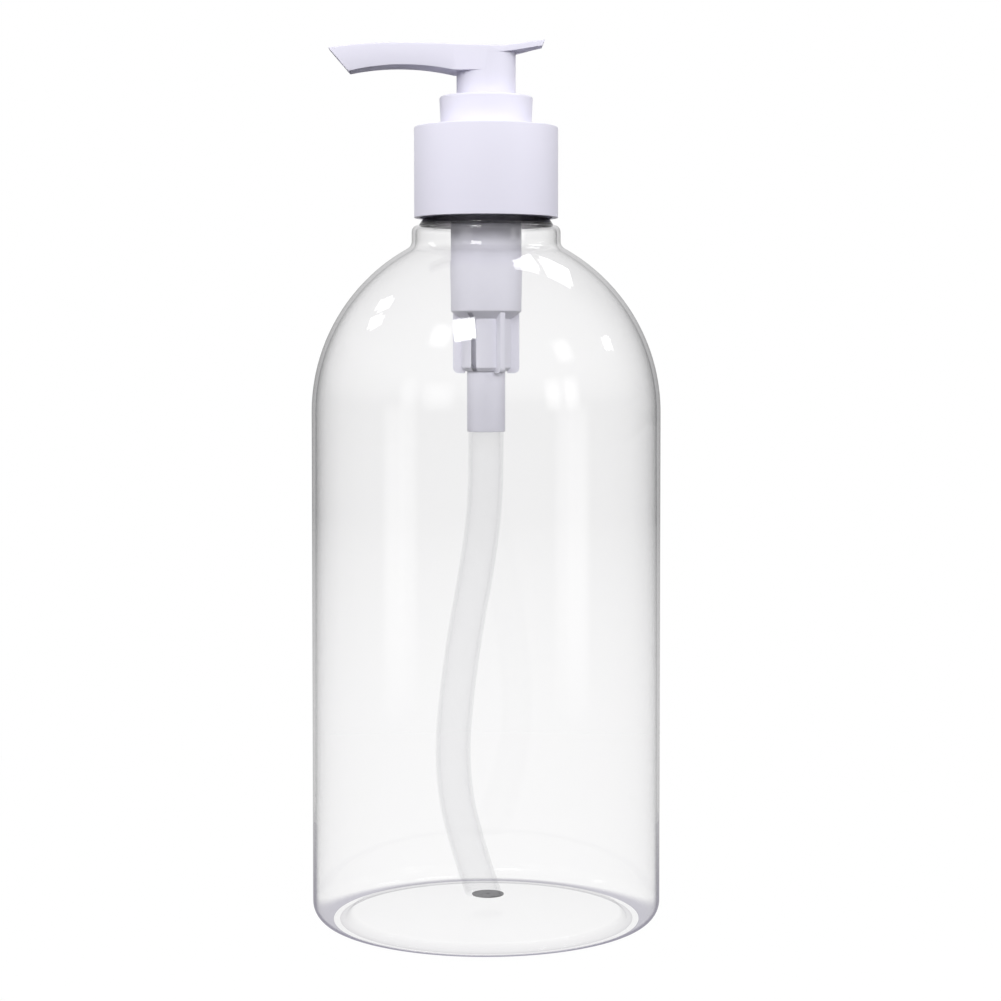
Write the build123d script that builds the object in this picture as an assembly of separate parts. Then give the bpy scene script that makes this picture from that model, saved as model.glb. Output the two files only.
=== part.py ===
from build123d import *

import os
from math import acos, asin, atan2, cos, degrees, hypot, pi, radians, sin, sqrt, tan

# Sizes are in millimetres and angles in degrees. Z is up from the surface that the bottle stands on, the
# pump's axis is Z, and the nozzle points to -X. The head is modelled locked down, as the object ships.

# Bottle
BODY_RADIUS = 37.0
BODY_WALL = 0.9
BASE_CORNER_RADIUS = 5.6
FOOT_WIDTH = 1.2
FOOT_ROUND = 0.5
PUSH_UP_STEP = 1.4
PUSH_UP_RUN = 1.3
PUSH_UP_ROUND = 0.9
PUSH_UP_RISE = 2.4
SHOULDER_START = 108.1
SHOULDER_RADIUS = 39.7
NECK_FILLET = 1.8
NECK_STEP_RADIUS = 15.77
NECK_STEP_HEIGHT = 4.45
NECK_STEP_ROUND = 1.4
FINISH_RADIUS = 12.6
FINISH_HEIGHT = 17.5
FINISH_ROUND = 0.4
NECK_BORE_RADIUS = 11.0

# Closure and gasket
CLOSURE_RADIUS = 15.25
CLOSURE_HEIGHT = 19.1
CLOSURE_WALL = 1.2
CLOSURE_PLATE = 1.4
CLOSURE_ROUND = 0.5
CLOSURE_LIP_ROUND = 0.25
GASKET_RADIUS = 12.9
GASKET_THICKNESS = 0.8

# Pump housing
HOUSING_RADIUS = 7.5
HOUSING_WALL = 1.1
CYLINDER_LENGTH = 36.5
FLANGE_RADIUS = 13.0
FLANGE_THICKNESS = 1.0
RIM_WALL = 0.75
SNAP_BEAD = 0.25
SNAP_BEAD_HEIGHT = 1.0
SNAP_BEAD_DROP = 1.4
RIBBED_LENGTH = 13.1
RIB_COUNT = 6
RIB_RADIUS = 7.05
RIB_THICKNESS = 1.2
RIB_CORNER_RADIUS = 1.2
CORE_RADIUS = 5.3
CORE_CHAMFER = 0.8
CORE_LIFT = 0.4
HOUSING_CONE = 1.6
TAIL_RADIUS = 4.05
TAIL_LENGTH = 12.4
TAIL_SOCKET_DEPTH = 9.5
INLET_RADIUS = 2.0
SEAT_LIFT = 0.4
SEAT_HALF_ANGLE = 31.0
BALL_BORE_RADIUS = 3.4
LEDGE_LIFT = 7.6
VENT_RADIUS = 0.6
VENT_DROP = 3.0

# Dip tube
TUBE_RADIUS = 3.75
TUBE_BORE_RADIUS = 2.95
TUBE_LEAN = 10.6
TUBE_RETURN = 31.1
TUBE_SLANT = 10.5
TUBE_LOWER_BEND_RADIUS = 85.0
TUBE_LAST_RUN = 3.2
TUBE_FLOOR_GAP = 2.0

# Check ball and return spring, which is squeezed while the head is locked down
BALL_RADIUS = 3.0
SPRING_WIRE_RADIUS = 0.35
SPRING_COIL_RADIUS = 3.35
SPRING_LENGTH = 10.0
SPRING_TURNS = 5
GAP_STEPS = 8

# Valve rod, piston and stem
VALVE_HEAD_RADIUS = 4.0
VALVE_HEAD_THICKNESS = 1.2
VALVE_CONE_HEIGHT = 1.4
VALVE_PIN_RADIUS = 2.6
VALVE_PIN_LENGTH = 3.0
SHANK_GRIP = 8.0
FLUTE_COUNT = 4
FLUTE_WIDTH = 1.0
FLUTE_DEPTH = 0.7
PISTON_BORE_RADIUS = 2.6
PISTON_HUB_RADIUS = 3.75
PISTON_HUB_LENGTH = 4.0
PISTON_SKIRT_WALL = 0.6
PISTON_LIP_WALL = 0.35
PISTON_SKIRT_OVERLAP = 1.2
PISTON_WEB = 1.2
PISTON_SHIFT = 1.2
PISTON_RELIEF = 0.35
STEM_RADIUS = 3.4
STEM_BORE_RADIUS = 2.0
STEM_SHOULDER_RADIUS = 4.6
STEM_SHOULDER_LENGTH = 3.5
STEM_SHOULDER_CHAMFER = 0.6
STROKE = 12.0

# Lock collar and the stem's guide
COLLAR_RADIUS = 9.9
COLLAR_HEIGHT = 6.2
COLLAR_DRAFT = 0.3
COLLAR_ROUND = 0.5
COLLAR_SKIRT_WALL = 1.15
COLLAR_SLEEVE_WALL = 1.15
COLLAR_TOP_WEB = 1.5
COLLAR_FLOOR = 1.4
GUIDE_WALL = 1.3
GUIDE_FLANGE_THICKNESS = 1.2

# Actuator
SKIRT_RADIUS = 6.25
SKIRT_WALL = 1.1
HEAD_SOCKET_WALL = 0.9
HEAD_SOCKET_RECESS = 1.2
HEAD_POCKET_ROOF = 1.0
HEAD_SOCKET_CROWN = 1.4
HEAD_GAP = 5.1
NOZZLE_REACH = 33.2
NOZZLE_OVERHANG = 4.3
NOZZLE_TIP_WIDTH = 5.8
NOZZLE_TIP_DROP = 1.1
NOZZLE_TIP_HOLLOW = 0.35
NOZZLE_ARCH = 1.65
NOZZLE_ROOT = 6.9
HEAD_HEIGHT = 6.1
HEAD_SADDLE_DIP = 0.55
HEAD_TAIL_REACH = 12.4
HEAD_TAIL_END_RADIUS = 3.0
HEAD_TAIL_RISE = 1.4
HEAD_TAIL_THICKNESS = 1.4
HEAD_TAIL_SAG = 0.35
HEAD_EDGE_ROUND = 0.4
HEAD_OVERRUN = 1.0
CHANNEL_RADIUS = 1.5
CHANNEL_ROOT_HEIGHT = 2.9
CHANNEL_TIP_HEIGHT = 2.3

# Clearances
PRESS_CLEARANCE = 0.02
SEAT_CLEARANCE = 0.05
SLIDE_CLEARANCE = 0.08
GUIDE_CLEARANCE = 0.2
RUNNING_GAP = 0.3
SNAP_CLEARANCE = 0.1
COLLAR_GAP = 0.2
LOCK_GAP = 0.6
THREAD_CLEARANCE = 0.4
STOP_GAP = 0.3

# Bottle places
shoulder_centre = BODY_RADIUS - SHOULDER_RADIUS
neck_foot = SHOULDER_START + sqrt(SHOULDER_RADIUS**2 - (NECK_STEP_RADIUS - shoulder_centre) ** 2)
neck_step_top = neck_foot + NECK_STEP_HEIGHT
finish_top = neck_step_top + FINISH_HEIGHT
foot_inner_radius = BODY_RADIUS - BASE_CORNER_RADIUS - FOOT_WIDTH
floor_height = PUSH_UP_RISE + BODY_WALL

# Closure and housing places
flange_bottom = finish_top + GASKET_THICKNESS
flange_top = flange_bottom + FLANGE_THICKNESS
closure_top = flange_top + CLOSURE_PLATE
cylinder_bottom = flange_bottom - CYLINDER_LENGTH
ribbed_bottom = cylinder_bottom - RIBBED_LENGTH
tail_mouth = ribbed_bottom - TAIL_LENGTH
bore_radius = HOUSING_RADIUS - HOUSING_WALL
spring_bore_radius = CORE_RADIUS - HOUSING_WALL
chamber_floor = cylinder_bottom + HOUSING_WALL
ledge_height = ribbed_bottom + LEDGE_LIFT
seat_bottom = ribbed_bottom + SEAT_LIFT
seat_top = seat_bottom + (BALL_BORE_RADIUS - INLET_RADIUS) / tan(radians(SEAT_HALF_ANGLE))
socket_radius = TUBE_RADIUS + PRESS_CLEARANCE
socket_top = tail_mouth + TAIL_SOCKET_DEPTH

# Collar places
collar_bottom = closure_top + COLLAR_GAP
collar_top = collar_bottom + COLLAR_HEIGHT
collar_floor_top = flange_top + COLLAR_FLOOR
lock_bore_radius = SKIRT_RADIUS + THREAD_CLEARANCE
sleeve_radius = lock_bore_radius + COLLAR_SLEEVE_WALL
pocket_radius = COLLAR_RADIUS - COLLAR_SKIRT_WALL
pocket_top = collar_top - COLLAR_TOP_WEB
rim_outer_radius = pocket_radius - SNAP_CLEARANCE
rim_inner_radius = rim_outer_radius - RIM_WALL
rim_top = pocket_top - SNAP_CLEARANCE
bead_height = rim_top - SNAP_BEAD_DROP
closure_hole_radius = rim_outer_radius + RUNNING_GAP
guide_bore_radius = STEM_RADIUS + GUIDE_CLEARANCE
guide_radius = guide_bore_radius + GUIDE_WALL

# Places of the pieces that the spring carries
valve_head_bottom = ledge_height + SPRING_LENGTH
valve_head_top = valve_head_bottom + VALVE_HEAD_THICKNESS
valve_cone_top = valve_head_top + VALVE_CONE_HEIGHT
shank_radius = STEM_BORE_RADIUS - PRESS_CLEARANCE
cone_slope = VALVE_CONE_HEIGHT / (VALVE_HEAD_RADIUS - shank_radius)
hub_bottom = valve_head_top + cone_slope * (VALVE_HEAD_RADIUS - PISTON_BORE_RADIUS) + SEAT_CLEARANCE
hub_top = hub_bottom + PISTON_HUB_LENGTH
stem_bottom = hub_top + PISTON_SHIFT + STOP_GAP
shank_top = stem_bottom + SHANK_GRIP
stem_shoulder_top = stem_bottom + STEM_SHOULDER_LENGTH
guide_bottom = stem_shoulder_top + STROKE + STOP_GAP

# Actuator places
skirt_bottom = collar_floor_top + LOCK_GAP
head_base = collar_top + HEAD_GAP
stem_top = head_base - HEAD_SOCKET_CROWN
socket_outer_radius = STEM_RADIUS + PRESS_CLEARANCE + HEAD_SOCKET_WALL


def round_corners(face, corners):
    """Round the corners of a flat face, given as pairs of a point and a radius."""
    for point, radius in corners:
        corner = face.vertices().sort_by_distance(point)[0]
        face = fillet(corner, radius)
    return face


def flat(*points):
    """Flat face inside a closed run of straight lines."""
    return make_face(Polyline(*points, close=True))


def turn(face):
    """Solid made by turning a half section of (radius, height) points about the pump's axis."""
    return revolve(Plane.XZ * face, Axis.Z)


def bottle_section(inset, throat_radius):
    """Half section of the bottle's outside, or of its hollow where the wall's inset is given."""
    wall_radius = BODY_RADIUS - inset
    step_radius = NECK_STEP_RADIUS - inset
    dome_radius = SHOULDER_RADIUS - inset
    dome_angle = degrees(acos((step_radius - shoulder_centre) / dome_radius))
    step_top = neck_step_top - inset
    crown = (0, PUSH_UP_RISE + inset)
    push_up_edge = (foot_inner_radius - PUSH_UP_RUN, PUSH_UP_STEP + inset)
    foot_edge = (foot_inner_radius, inset)
    base_corner = (wall_radius, inset)
    push_up = TangentArc(crown, push_up_edge, tangent=(1, 0))
    dome_foot = (wall_radius, SHOULDER_START)
    shoulder = JernArc(dome_foot, tangent=(0, 1), radius=dome_radius, arc_size=dome_angle)
    neck_corner = shoulder @ 1
    step_corner = (step_radius, step_top)
    foot = Polyline(push_up_edge, foot_edge, base_corner, dome_foot)
    neck = Polyline(neck_corner, step_corner, (throat_radius, step_top), (throat_radius, finish_top))
    closing = Polyline((throat_radius, finish_top), (0, finish_top), crown)
    face = make_face([edge for run in (push_up, foot, shoulder, neck, closing) for edge in run.edges()])
    rounds = [
        (push_up_edge, PUSH_UP_ROUND),
        (foot_edge, FOOT_ROUND),
        (base_corner, BASE_CORNER_RADIUS - inset),
        (neck_corner, NECK_FILLET + inset),
        (step_corner, NECK_STEP_ROUND - inset),
    ]
    return round_corners(face, rounds)


def make_bottle():
    """Clear bottle: round body, domed shoulder, stepped neck and a standing ring round a push-up base."""
    outside = bottle_section(0, FINISH_RADIUS)
    outside = round_corners(outside, [((FINISH_RADIUS, finish_top), FINISH_ROUND)])
    hollow = bottle_section(BODY_WALL, NECK_BORE_RADIUS)
    return turn(outside) - turn(hollow)


def make_closure():
    """Smooth screw closure, with a plate that the housing's flange is pulled down by."""
    bottom = closure_top - CLOSURE_HEIGHT
    inner_radius = CLOSURE_RADIUS - CLOSURE_WALL
    section = flat(
        (closure_hole_radius, closure_top),
        (CLOSURE_RADIUS, closure_top),
        (CLOSURE_RADIUS, bottom),
        (inner_radius, bottom),
        (inner_radius, flange_top),
        (closure_hole_radius, flange_top),
    )
    rounds = [
        ((CLOSURE_RADIUS, closure_top), CLOSURE_ROUND),
        ((CLOSURE_RADIUS, bottom), CLOSURE_LIP_ROUND),
    ]
    return turn(round_corners(section, rounds))


def make_gasket():
    """Foam washer between the neck's land and the housing's flange."""
    inner_radius = HOUSING_RADIUS + SNAP_CLEARANCE
    section = flat(
        (inner_radius, finish_top),
        (GASKET_RADIUS, finish_top),
        (GASKET_RADIUS, flange_bottom),
        (inner_radius, flange_bottom),
    )
    return turn(section)


def housing_rib():
    """One of the upright ribs round the housing's lower part, with its lower corner rounded."""
    inner_radius = (socket_radius + TAIL_RADIUS) / 2
    corner = (RIB_RADIUS, ribbed_bottom)
    outline = flat(
        (inner_radius, ribbed_bottom),
        corner,
        (RIB_RADIUS, chamber_floor),
        (inner_radius, chamber_floor),
    )
    outline = round_corners(outline, [(corner, RIB_CORNER_RADIUS)])
    return extrude(Plane.XZ * outline, RIB_THICKNESS / 2, both=True)


def make_housing():
    """Pump cylinder with its flange, snap rim, ribbed valve chamber, tail socket and vent hole."""
    core_bottom = ribbed_bottom + CORE_LIFT
    bead_half = SNAP_BEAD_HEIGHT / 2
    outside = turn(
        flat(
            (0, tail_mouth),
            (TAIL_RADIUS, tail_mouth),
            (TAIL_RADIUS, core_bottom),
            (CORE_RADIUS - CORE_CHAMFER, core_bottom),
            (CORE_RADIUS, core_bottom + CORE_CHAMFER),
            (CORE_RADIUS, cylinder_bottom - HOUSING_CONE),
            (HOUSING_RADIUS, cylinder_bottom),
            (HOUSING_RADIUS, flange_bottom),
            (FLANGE_RADIUS, flange_bottom),
            (FLANGE_RADIUS, flange_top),
            (rim_outer_radius, flange_top),
            (rim_outer_radius, bead_height - bead_half),
            (rim_outer_radius + SNAP_BEAD, bead_height),
            (rim_outer_radius, bead_height + bead_half),
            (rim_outer_radius, rim_top),
            (0, rim_top),
        )
    )
    ribs = [Rot(Z=360 * index / RIB_COUNT) * housing_rib() for index in range(RIB_COUNT)]
    hollow = turn(
        flat(
            (0, tail_mouth),
            (socket_radius, tail_mouth),
            (socket_radius, socket_top),
            (INLET_RADIUS, socket_top),
            (INLET_RADIUS, seat_bottom),
            (BALL_BORE_RADIUS, seat_top),
            (BALL_BORE_RADIUS, ledge_height),
            (spring_bore_radius, ledge_height),
            (spring_bore_radius, chamber_floor),
            (bore_radius, chamber_floor),
            (bore_radius, flange_top),
            (rim_inner_radius, flange_top),
            (rim_inner_radius, rim_top),
            (0, rim_top),
        )
    )
    vent_centre = Pos(Y=HOUSING_RADIUS, Z=flange_bottom - VENT_DROP)
    vent = vent_centre * Rot(X=90) * Cylinder(VENT_RADIUS, 2 * HOUSING_WALL)
    return outside + ribs - hollow - vent


def make_lock_collar():
    """Ring that snaps over the housing's rim, holds the stem's guide and takes the head's lock thread."""
    groove_half = SNAP_BEAD_HEIGHT / 2 + SNAP_CLEARANCE
    groove_radius = pocket_radius + SNAP_BEAD
    section = flat(
        (COLLAR_RADIUS - COLLAR_DRAFT, collar_bottom),
        (COLLAR_RADIUS, collar_top),
        (lock_bore_radius, collar_top),
        (lock_bore_radius, collar_floor_top),
        (guide_radius + PRESS_CLEARANCE, collar_floor_top),
        (guide_radius + PRESS_CLEARANCE, flange_top),
        (sleeve_radius, flange_top),
        (sleeve_radius, pocket_top),
        (pocket_radius, pocket_top),
        (pocket_radius, bead_height + groove_half),
        (groove_radius, bead_height),
        (pocket_radius, bead_height - groove_half),
        (pocket_radius, collar_bottom),
    )
    rounds = [
        ((COLLAR_RADIUS, collar_top), COLLAR_ROUND),
        ((lock_bore_radius, collar_top), COLLAR_ROUND),
    ]
    return turn(round_corners(section, rounds))


def make_stem_guide():
    """Bush in the collar's floor that the stem slides in and its shoulder stops under."""
    flange_radius = bore_radius - RUNNING_GAP
    flange_bottom_edge = flange_top - GUIDE_FLANGE_THICKNESS
    section = flat(
        (guide_bore_radius, guide_bottom),
        (guide_radius, guide_bottom),
        (guide_radius, flange_bottom_edge),
        (flange_radius, flange_bottom_edge),
        (flange_radius, flange_top),
        (guide_radius, flange_top),
        (guide_radius, collar_floor_top),
        (guide_bore_radius, collar_floor_top),
    )
    return turn(section)


def tube_route():
    """Centre line of the dip tube, from inside the tail socket down past its cut end."""
    end_angle = TUBE_RETURN - TUBE_LEAN
    tube_end = floor_height + TUBE_FLOOR_GAP
    lower_drop = TUBE_LOWER_BEND_RADIUS * (sin(radians(TUBE_LEAN)) + sin(radians(end_angle)))
    runs_drop = TUBE_SLANT * cos(radians(TUBE_LEAN)) + TUBE_LAST_RUN * cos(radians(end_angle))
    upper_bend_radius = (tail_mouth - tube_end - lower_drop - runs_drop) / sin(radians(TUBE_LEAN))
    plug = Line((0, socket_top), (0, tail_mouth))
    upper = JernArc(plug @ 1, tangent=plug % 1, radius=upper_bend_radius, arc_size=-TUBE_LEAN)
    slant = Line(upper @ 1, upper @ 1 + (upper % 1) * TUBE_SLANT)
    lower = JernArc(slant @ 1, tangent=slant % 1, radius=TUBE_LOWER_BEND_RADIUS, arc_size=TUBE_RETURN)
    last_run = Line(lower @ 1, lower @ 1 + (lower % 1) * (TUBE_LAST_RUN + TUBE_RADIUS))
    return Plane.XZ * Wire([plug.edge(), upper.edge(), slant.edge(), lower.edge(), last_run.edge()])


def make_dip_tube():
    """Thick tube with an S-shaped set, pushed into the tail socket and cut level above the floor."""
    route = tube_route()
    mouth = Plane(origin=route @ 0, z_dir=route % 0)
    tube = sweep(mouth * (Circle(TUBE_RADIUS) - Circle(TUBE_BORE_RADIUS)), path=route)
    cut_level = Plane.XY.offset(floor_height + TUBE_FLOOR_GAP)
    return split(tube, bisect_by=cut_level, keep=Keep.TOP)


def make_inlet_ball():
    """Check ball resting on the cone above the inlet."""
    slope = radians(SEAT_HALF_ANGLE)
    rise = (BALL_RADIUS + SEAT_CLEARANCE - INLET_RADIUS * cos(slope)) / sin(slope)
    return Pos(Z=seat_bottom + rise) * Sphere(BALL_RADIUS)


def biarc(start, start_direction, end, end_direction):
    """Two arcs that join two points smoothly along the given unit directions."""
    chord = end - start
    spread = 2 * (1 - start_direction.dot(end_direction))
    along = chord.dot(start_direction + end_direction)
    reach = (sqrt(along**2 + spread * chord.dot(chord)) - along) / spread
    first = start + start_direction * reach
    second = end - end_direction * reach
    middle = (first + second) * 0.5
    return [
        TangentArc(start, middle, tangent=start_direction),
        TangentArc(middle, end, tangent=second - first),
    ]


def spring_route():
    """Arcs of the spring's helix, half a turn to each pair."""
    halves = 2 * SPRING_TURNS
    bottom = ledge_height + SPRING_WIRE_RADIUS + SEAT_CLEARANCE
    rise = SPRING_LENGTH - 2 * (SPRING_WIRE_RADIUS + SEAT_CLEARANCE)
    climb = rise / (2 * pi * SPRING_TURNS)
    points = []
    directions = []
    for half in range(halves + 1):
        angle = half * pi
        across = Vector(cos(angle), sin(angle), 0) * SPRING_COIL_RADIUS
        points.append(across + Vector(0, 0, bottom + climb * angle))
        directions.append(Vector(-across.Y, across.X, climb).normalized())
    arcs = []
    for half in range(halves):
        arcs += biarc(points[half], directions[half], points[half + 1], directions[half + 1])
    return arcs


def least_spring_gap(arcs):
    """Least clear distance between turns, measured on points along the helix."""
    points = [arc @ (step / GAP_STEPS) for arc in arcs for step in range(GAP_STEPS)]
    half_turn = len(points) // (2 * SPRING_TURNS)
    distances = []
    for index, point in enumerate(points):
        distances += [(point - other).length for other in points[index + half_turn :]]
    return min(distances) - 2 * SPRING_WIRE_RADIUS


def make_return_spring():
    """Compression spring between the housing's ledge and the valve rod."""
    arcs = spring_route()
    print(f"return_spring: least gap between turns {least_spring_gap(arcs):.2f} mm")
    route = Wire([arc.edge() for arc in arcs])
    start = Plane(origin=route @ 0, z_dir=route % 0)
    return sweep(start * Circle(SPRING_WIRE_RADIUS), path=route)


def make_valve_rod():
    """Plug of the stem: a pin inside the spring, the head, the piston's cone and a fluted shank."""
    rod = turn(
        flat(
            (0, valve_head_bottom - VALVE_PIN_LENGTH),
            (VALVE_PIN_RADIUS, valve_head_bottom - VALVE_PIN_LENGTH),
            (VALVE_PIN_RADIUS, valve_head_bottom),
            (VALVE_HEAD_RADIUS, valve_head_bottom),
            (VALVE_HEAD_RADIUS, valve_head_top),
            (shank_radius, valve_cone_top),
            (shank_radius, shank_top),
            (0, shank_top),
        )
    )
    flute_length = shank_top - valve_cone_top
    cutter = Box(2 * FLUTE_DEPTH, FLUTE_WIDTH, flute_length)
    flute = Pos(shank_radius, 0, shank_top - flute_length / 2) * cutter
    return rod - [Rot(Z=360 * index / FLUTE_COUNT) * flute for index in range(FLUTE_COUNT)]


def make_piston():
    """Soft piston: a hub that seals on the valve rod's cone and a skirt with a lip at each end."""
    skirt_radius = bore_radius - SLIDE_CLEARANCE
    relief_radius = skirt_radius - PISTON_RELIEF
    inner_radius = relief_radius - PISTON_SKIRT_WALL
    lip_radius = skirt_radius - PISTON_LIP_WALL
    skirt_bottom_edge = hub_bottom - PISTON_SKIRT_OVERLAP
    skirt_top_edge = hub_top + PISTON_SKIRT_OVERLAP
    web_bottom = (hub_bottom + hub_top - PISTON_WEB) / 2
    web_top = web_bottom + PISTON_WEB
    section = flat(
        (PISTON_BORE_RADIUS, hub_bottom),
        (PISTON_HUB_RADIUS, hub_bottom),
        (PISTON_HUB_RADIUS, web_bottom),
        (inner_radius, web_bottom),
        (lip_radius, skirt_bottom_edge),
        (skirt_radius, skirt_bottom_edge),
        (relief_radius, web_bottom),
        (relief_radius, web_top),
        (skirt_radius, skirt_top_edge),
        (lip_radius, skirt_top_edge),
        (inner_radius, web_top),
        (PISTON_HUB_RADIUS, web_top),
        (PISTON_HUB_RADIUS, hub_top),
        (PISTON_BORE_RADIUS, hub_top),
    )
    return turn(section)


def make_stem():
    """Hollow rod that carries the head, with a shoulder that stops under the guide."""
    section = flat(
        (STEM_BORE_RADIUS, stem_bottom),
        (STEM_SHOULDER_RADIUS, stem_bottom),
        (STEM_SHOULDER_RADIUS, stem_shoulder_top - STEM_SHOULDER_CHAMFER),
        (STEM_SHOULDER_RADIUS - STEM_SHOULDER_CHAMFER, stem_shoulder_top),
        (STEM_RADIUS, stem_shoulder_top),
        (STEM_RADIUS, stem_top),
        (STEM_BORE_RADIUS, stem_top),
    )
    return turn(section)


def head_side():
    """Side view of the pump head: arched nozzle, slanted mouth, saddle-shaped top and thin upturned tail."""
    saddle = (0, HEAD_HEIGHT - HEAD_SADDLE_DIP)
    tip_top = (-NOZZLE_REACH, HEAD_HEIGHT - NOZZLE_TIP_DROP)
    tip_bottom = (NOZZLE_OVERHANG - NOZZLE_REACH, 0)
    root = (-NOZZLE_ROOT, 0)
    arch_middle = ((root[0] + tip_bottom[0]) / 2, NOZZLE_ARCH)
    crown = (-NOZZLE_REACH / 2, HEAD_HEIGHT)
    mouth_middle = (
        (tip_top[0] + tip_bottom[0]) / 2 + NOZZLE_TIP_HOLLOW,
        (tip_top[1] + tip_bottom[1]) / 2,
    )
    tail_top = (HEAD_TAIL_REACH, saddle[1] + HEAD_TAIL_RISE)
    tail_bottom = (HEAD_TAIL_REACH, tail_top[1] - HEAD_TAIL_THICKNESS)
    tail_root = (0, saddle[1] - HEAD_TAIL_THICKNESS)
    tail_middle = (HEAD_TAIL_REACH / 2, (saddle[1] + tail_top[1]) / 2 - HEAD_TAIL_SAG)
    tail_under = (tail_middle[0], tail_middle[1] - HEAD_TAIL_THICKNESS)
    tail_upper = ThreePointArc(saddle, tail_middle, tail_top)
    tail_lower = ThreePointArc(tail_root, tail_under, tail_bottom)
    past_top = tail_upper @ 1 + (tail_upper % 1) * HEAD_OVERRUN
    past_bottom = tail_lower @ 1 + (tail_lower % 1) * HEAD_OVERRUN
    edges = [
        Line((0, 0), root),
        ThreePointArc(root, arch_middle, tip_bottom),
        ThreePointArc(tip_bottom, mouth_middle, tip_top),
        ThreePointArc(tip_top, crown, saddle),
        tail_upper,
        Polyline(tail_upper @ 1, past_top, past_bottom, tail_lower @ 1),
        tail_lower,
        Line(tail_root, (0, 0)),
    ]
    return make_face([part for edge in edges for part in edge.edges()])


def head_plan():
    """Plan of the pump head: sides that leave the skirt's circle for the nozzle's tip and for the tail."""
    tip_half = NOZZLE_TIP_WIDTH / 2
    taper = asin(SKIRT_RADIUS / hypot(NOZZLE_REACH, tip_half)) - atan2(tip_half, NOZZLE_REACH)
    tail_centre = HEAD_TAIL_REACH - HEAD_TAIL_END_RADIUS
    narrowing = asin((SKIRT_RADIUS - HEAD_TAIL_END_RADIUS) / tail_centre)
    past_tip = -NOZZLE_REACH - HEAD_OVERRUN
    edges = []
    for side in (1, -1):
        tip = (past_tip, side * (tip_half - HEAD_OVERRUN * tan(taper)))
        nozzle_end = (-SKIRT_RADIUS * sin(taper), side * SKIRT_RADIUS * cos(taper))
        tail_start = (SKIRT_RADIUS * sin(narrowing), side * SKIRT_RADIUS * cos(narrowing))
        end_out = HEAD_TAIL_END_RADIUS * sin(narrowing)
        end_across = HEAD_TAIL_END_RADIUS * cos(narrowing)
        tail_end = (tail_centre + end_out, side * end_across)
        end_step = HEAD_TAIL_END_RADIUS * sqrt(0.5)
        end_middle = (tail_centre + end_step, side * end_step)
        edges += [
            Line((past_tip, 0), tip),
            Line(tip, nozzle_end),
            ThreePointArc(nozzle_end, (0, side * SKIRT_RADIUS), tail_start),
            Line(tail_start, tail_end),
            ThreePointArc(tail_end, end_middle, (HEAD_TAIL_REACH, 0)),
        ]
    return make_face([edge.edge() for edge in edges])


def is_top_rim(edge):
    """Whether an edge of the head's beam lies along the rim of its top."""
    middle = edge @ 0.5
    on_top = middle.Z > head_base + HEAD_HEIGHT - NOZZLE_TIP_DROP
    return on_top and abs(middle.Y) > HEAD_TAIL_END_RADIUS / 2


def nozzle_channel():
    """Bent bore from the stem to the nozzle's mouth."""
    mid_height = (NOZZLE_ARCH + HEAD_HEIGHT) / 2
    outside = -NOZZLE_REACH - CHANNEL_RADIUS
    root = (0, CHANNEL_ROOT_HEIGHT)
    bend = ThreePointArc(root, (outside / 2, mid_height), (outside, CHANNEL_TIP_HEIGHT))
    route = Plane.XZ * bend
    return sweep(Plane(origin=route @ 0, z_dir=route % 0) * Circle(CHANNEL_RADIUS), path=route)


def make_actuator():
    """Pump head with its nozzle, tail, skirt, stem socket and fluid channel."""
    level = Pos(Z=head_base)
    width = 2 * SKIRT_RADIUS
    beam = level * extrude(Plane.XZ * head_side(), width, both=True)
    beam &= level * extrude(head_plan(), 2 * HEAD_HEIGHT, both=True)
    top_edges = [edge for edge in beam.edges() if is_top_rim(edge)]
    beam = fillet(top_edges, HEAD_EDGE_ROUND)
    skirt_top = head_base + HEAD_HEIGHT - HEAD_SADDLE_DIP - HEAD_TAIL_THICKNESS / 2
    inner_radius = SKIRT_RADIUS - SKIRT_WALL
    grip_radius = STEM_RADIUS + PRESS_CLEARANCE
    skirt_height = skirt_top - skirt_bottom
    skirt = Pos(Z=skirt_bottom + skirt_height / 2) * Cylinder(SKIRT_RADIUS, skirt_height)
    pocket_roof = stem_top - HEAD_POCKET_ROOF
    socket_bottom = skirt_bottom + HEAD_SOCKET_RECESS
    channel_top = head_base + CHANNEL_ROOT_HEIGHT + CHANNEL_RADIUS
    hollow = turn(
        flat(
            (0, skirt_bottom),
            (inner_radius, skirt_bottom),
            (inner_radius, pocket_roof),
            (socket_outer_radius, pocket_roof),
            (socket_outer_radius, socket_bottom),
            (grip_radius, socket_bottom),
            (grip_radius, stem_top),
            (STEM_BORE_RADIUS, stem_top),
            (STEM_BORE_RADIUS, channel_top),
            (0, channel_top),
        )
    )
    return beam + skirt - hollow - level * nozzle_channel()


MAKERS = {
    "bottle": make_bottle,
    "closure": make_closure,
    "gasket": make_gasket,
    "pump_housing": make_housing,
    "lock_collar": make_lock_collar,
    "stem_guide": make_stem_guide,
    "dip_tube": make_dip_tube,
    "inlet_ball": make_inlet_ball,
    "return_spring": make_return_spring,
    "valve_rod": make_valve_rod,
    "piston": make_piston,
    "stem": make_stem,
    "actuator": make_actuator,
}

os.makedirs("parts", exist_ok=True)
for name, make in MAKERS.items():
    export_step(make(), f"parts/{name}.step")
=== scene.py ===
"""Studio scene of a clear round soap bottle with a white lotion pump, its head locked down."""

import logging
import math
from collections.abc import Callable
from dataclasses import dataclass
from enum import Enum
from functools import reduce

import bpy
from mathutils import Matrix, Vector


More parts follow.
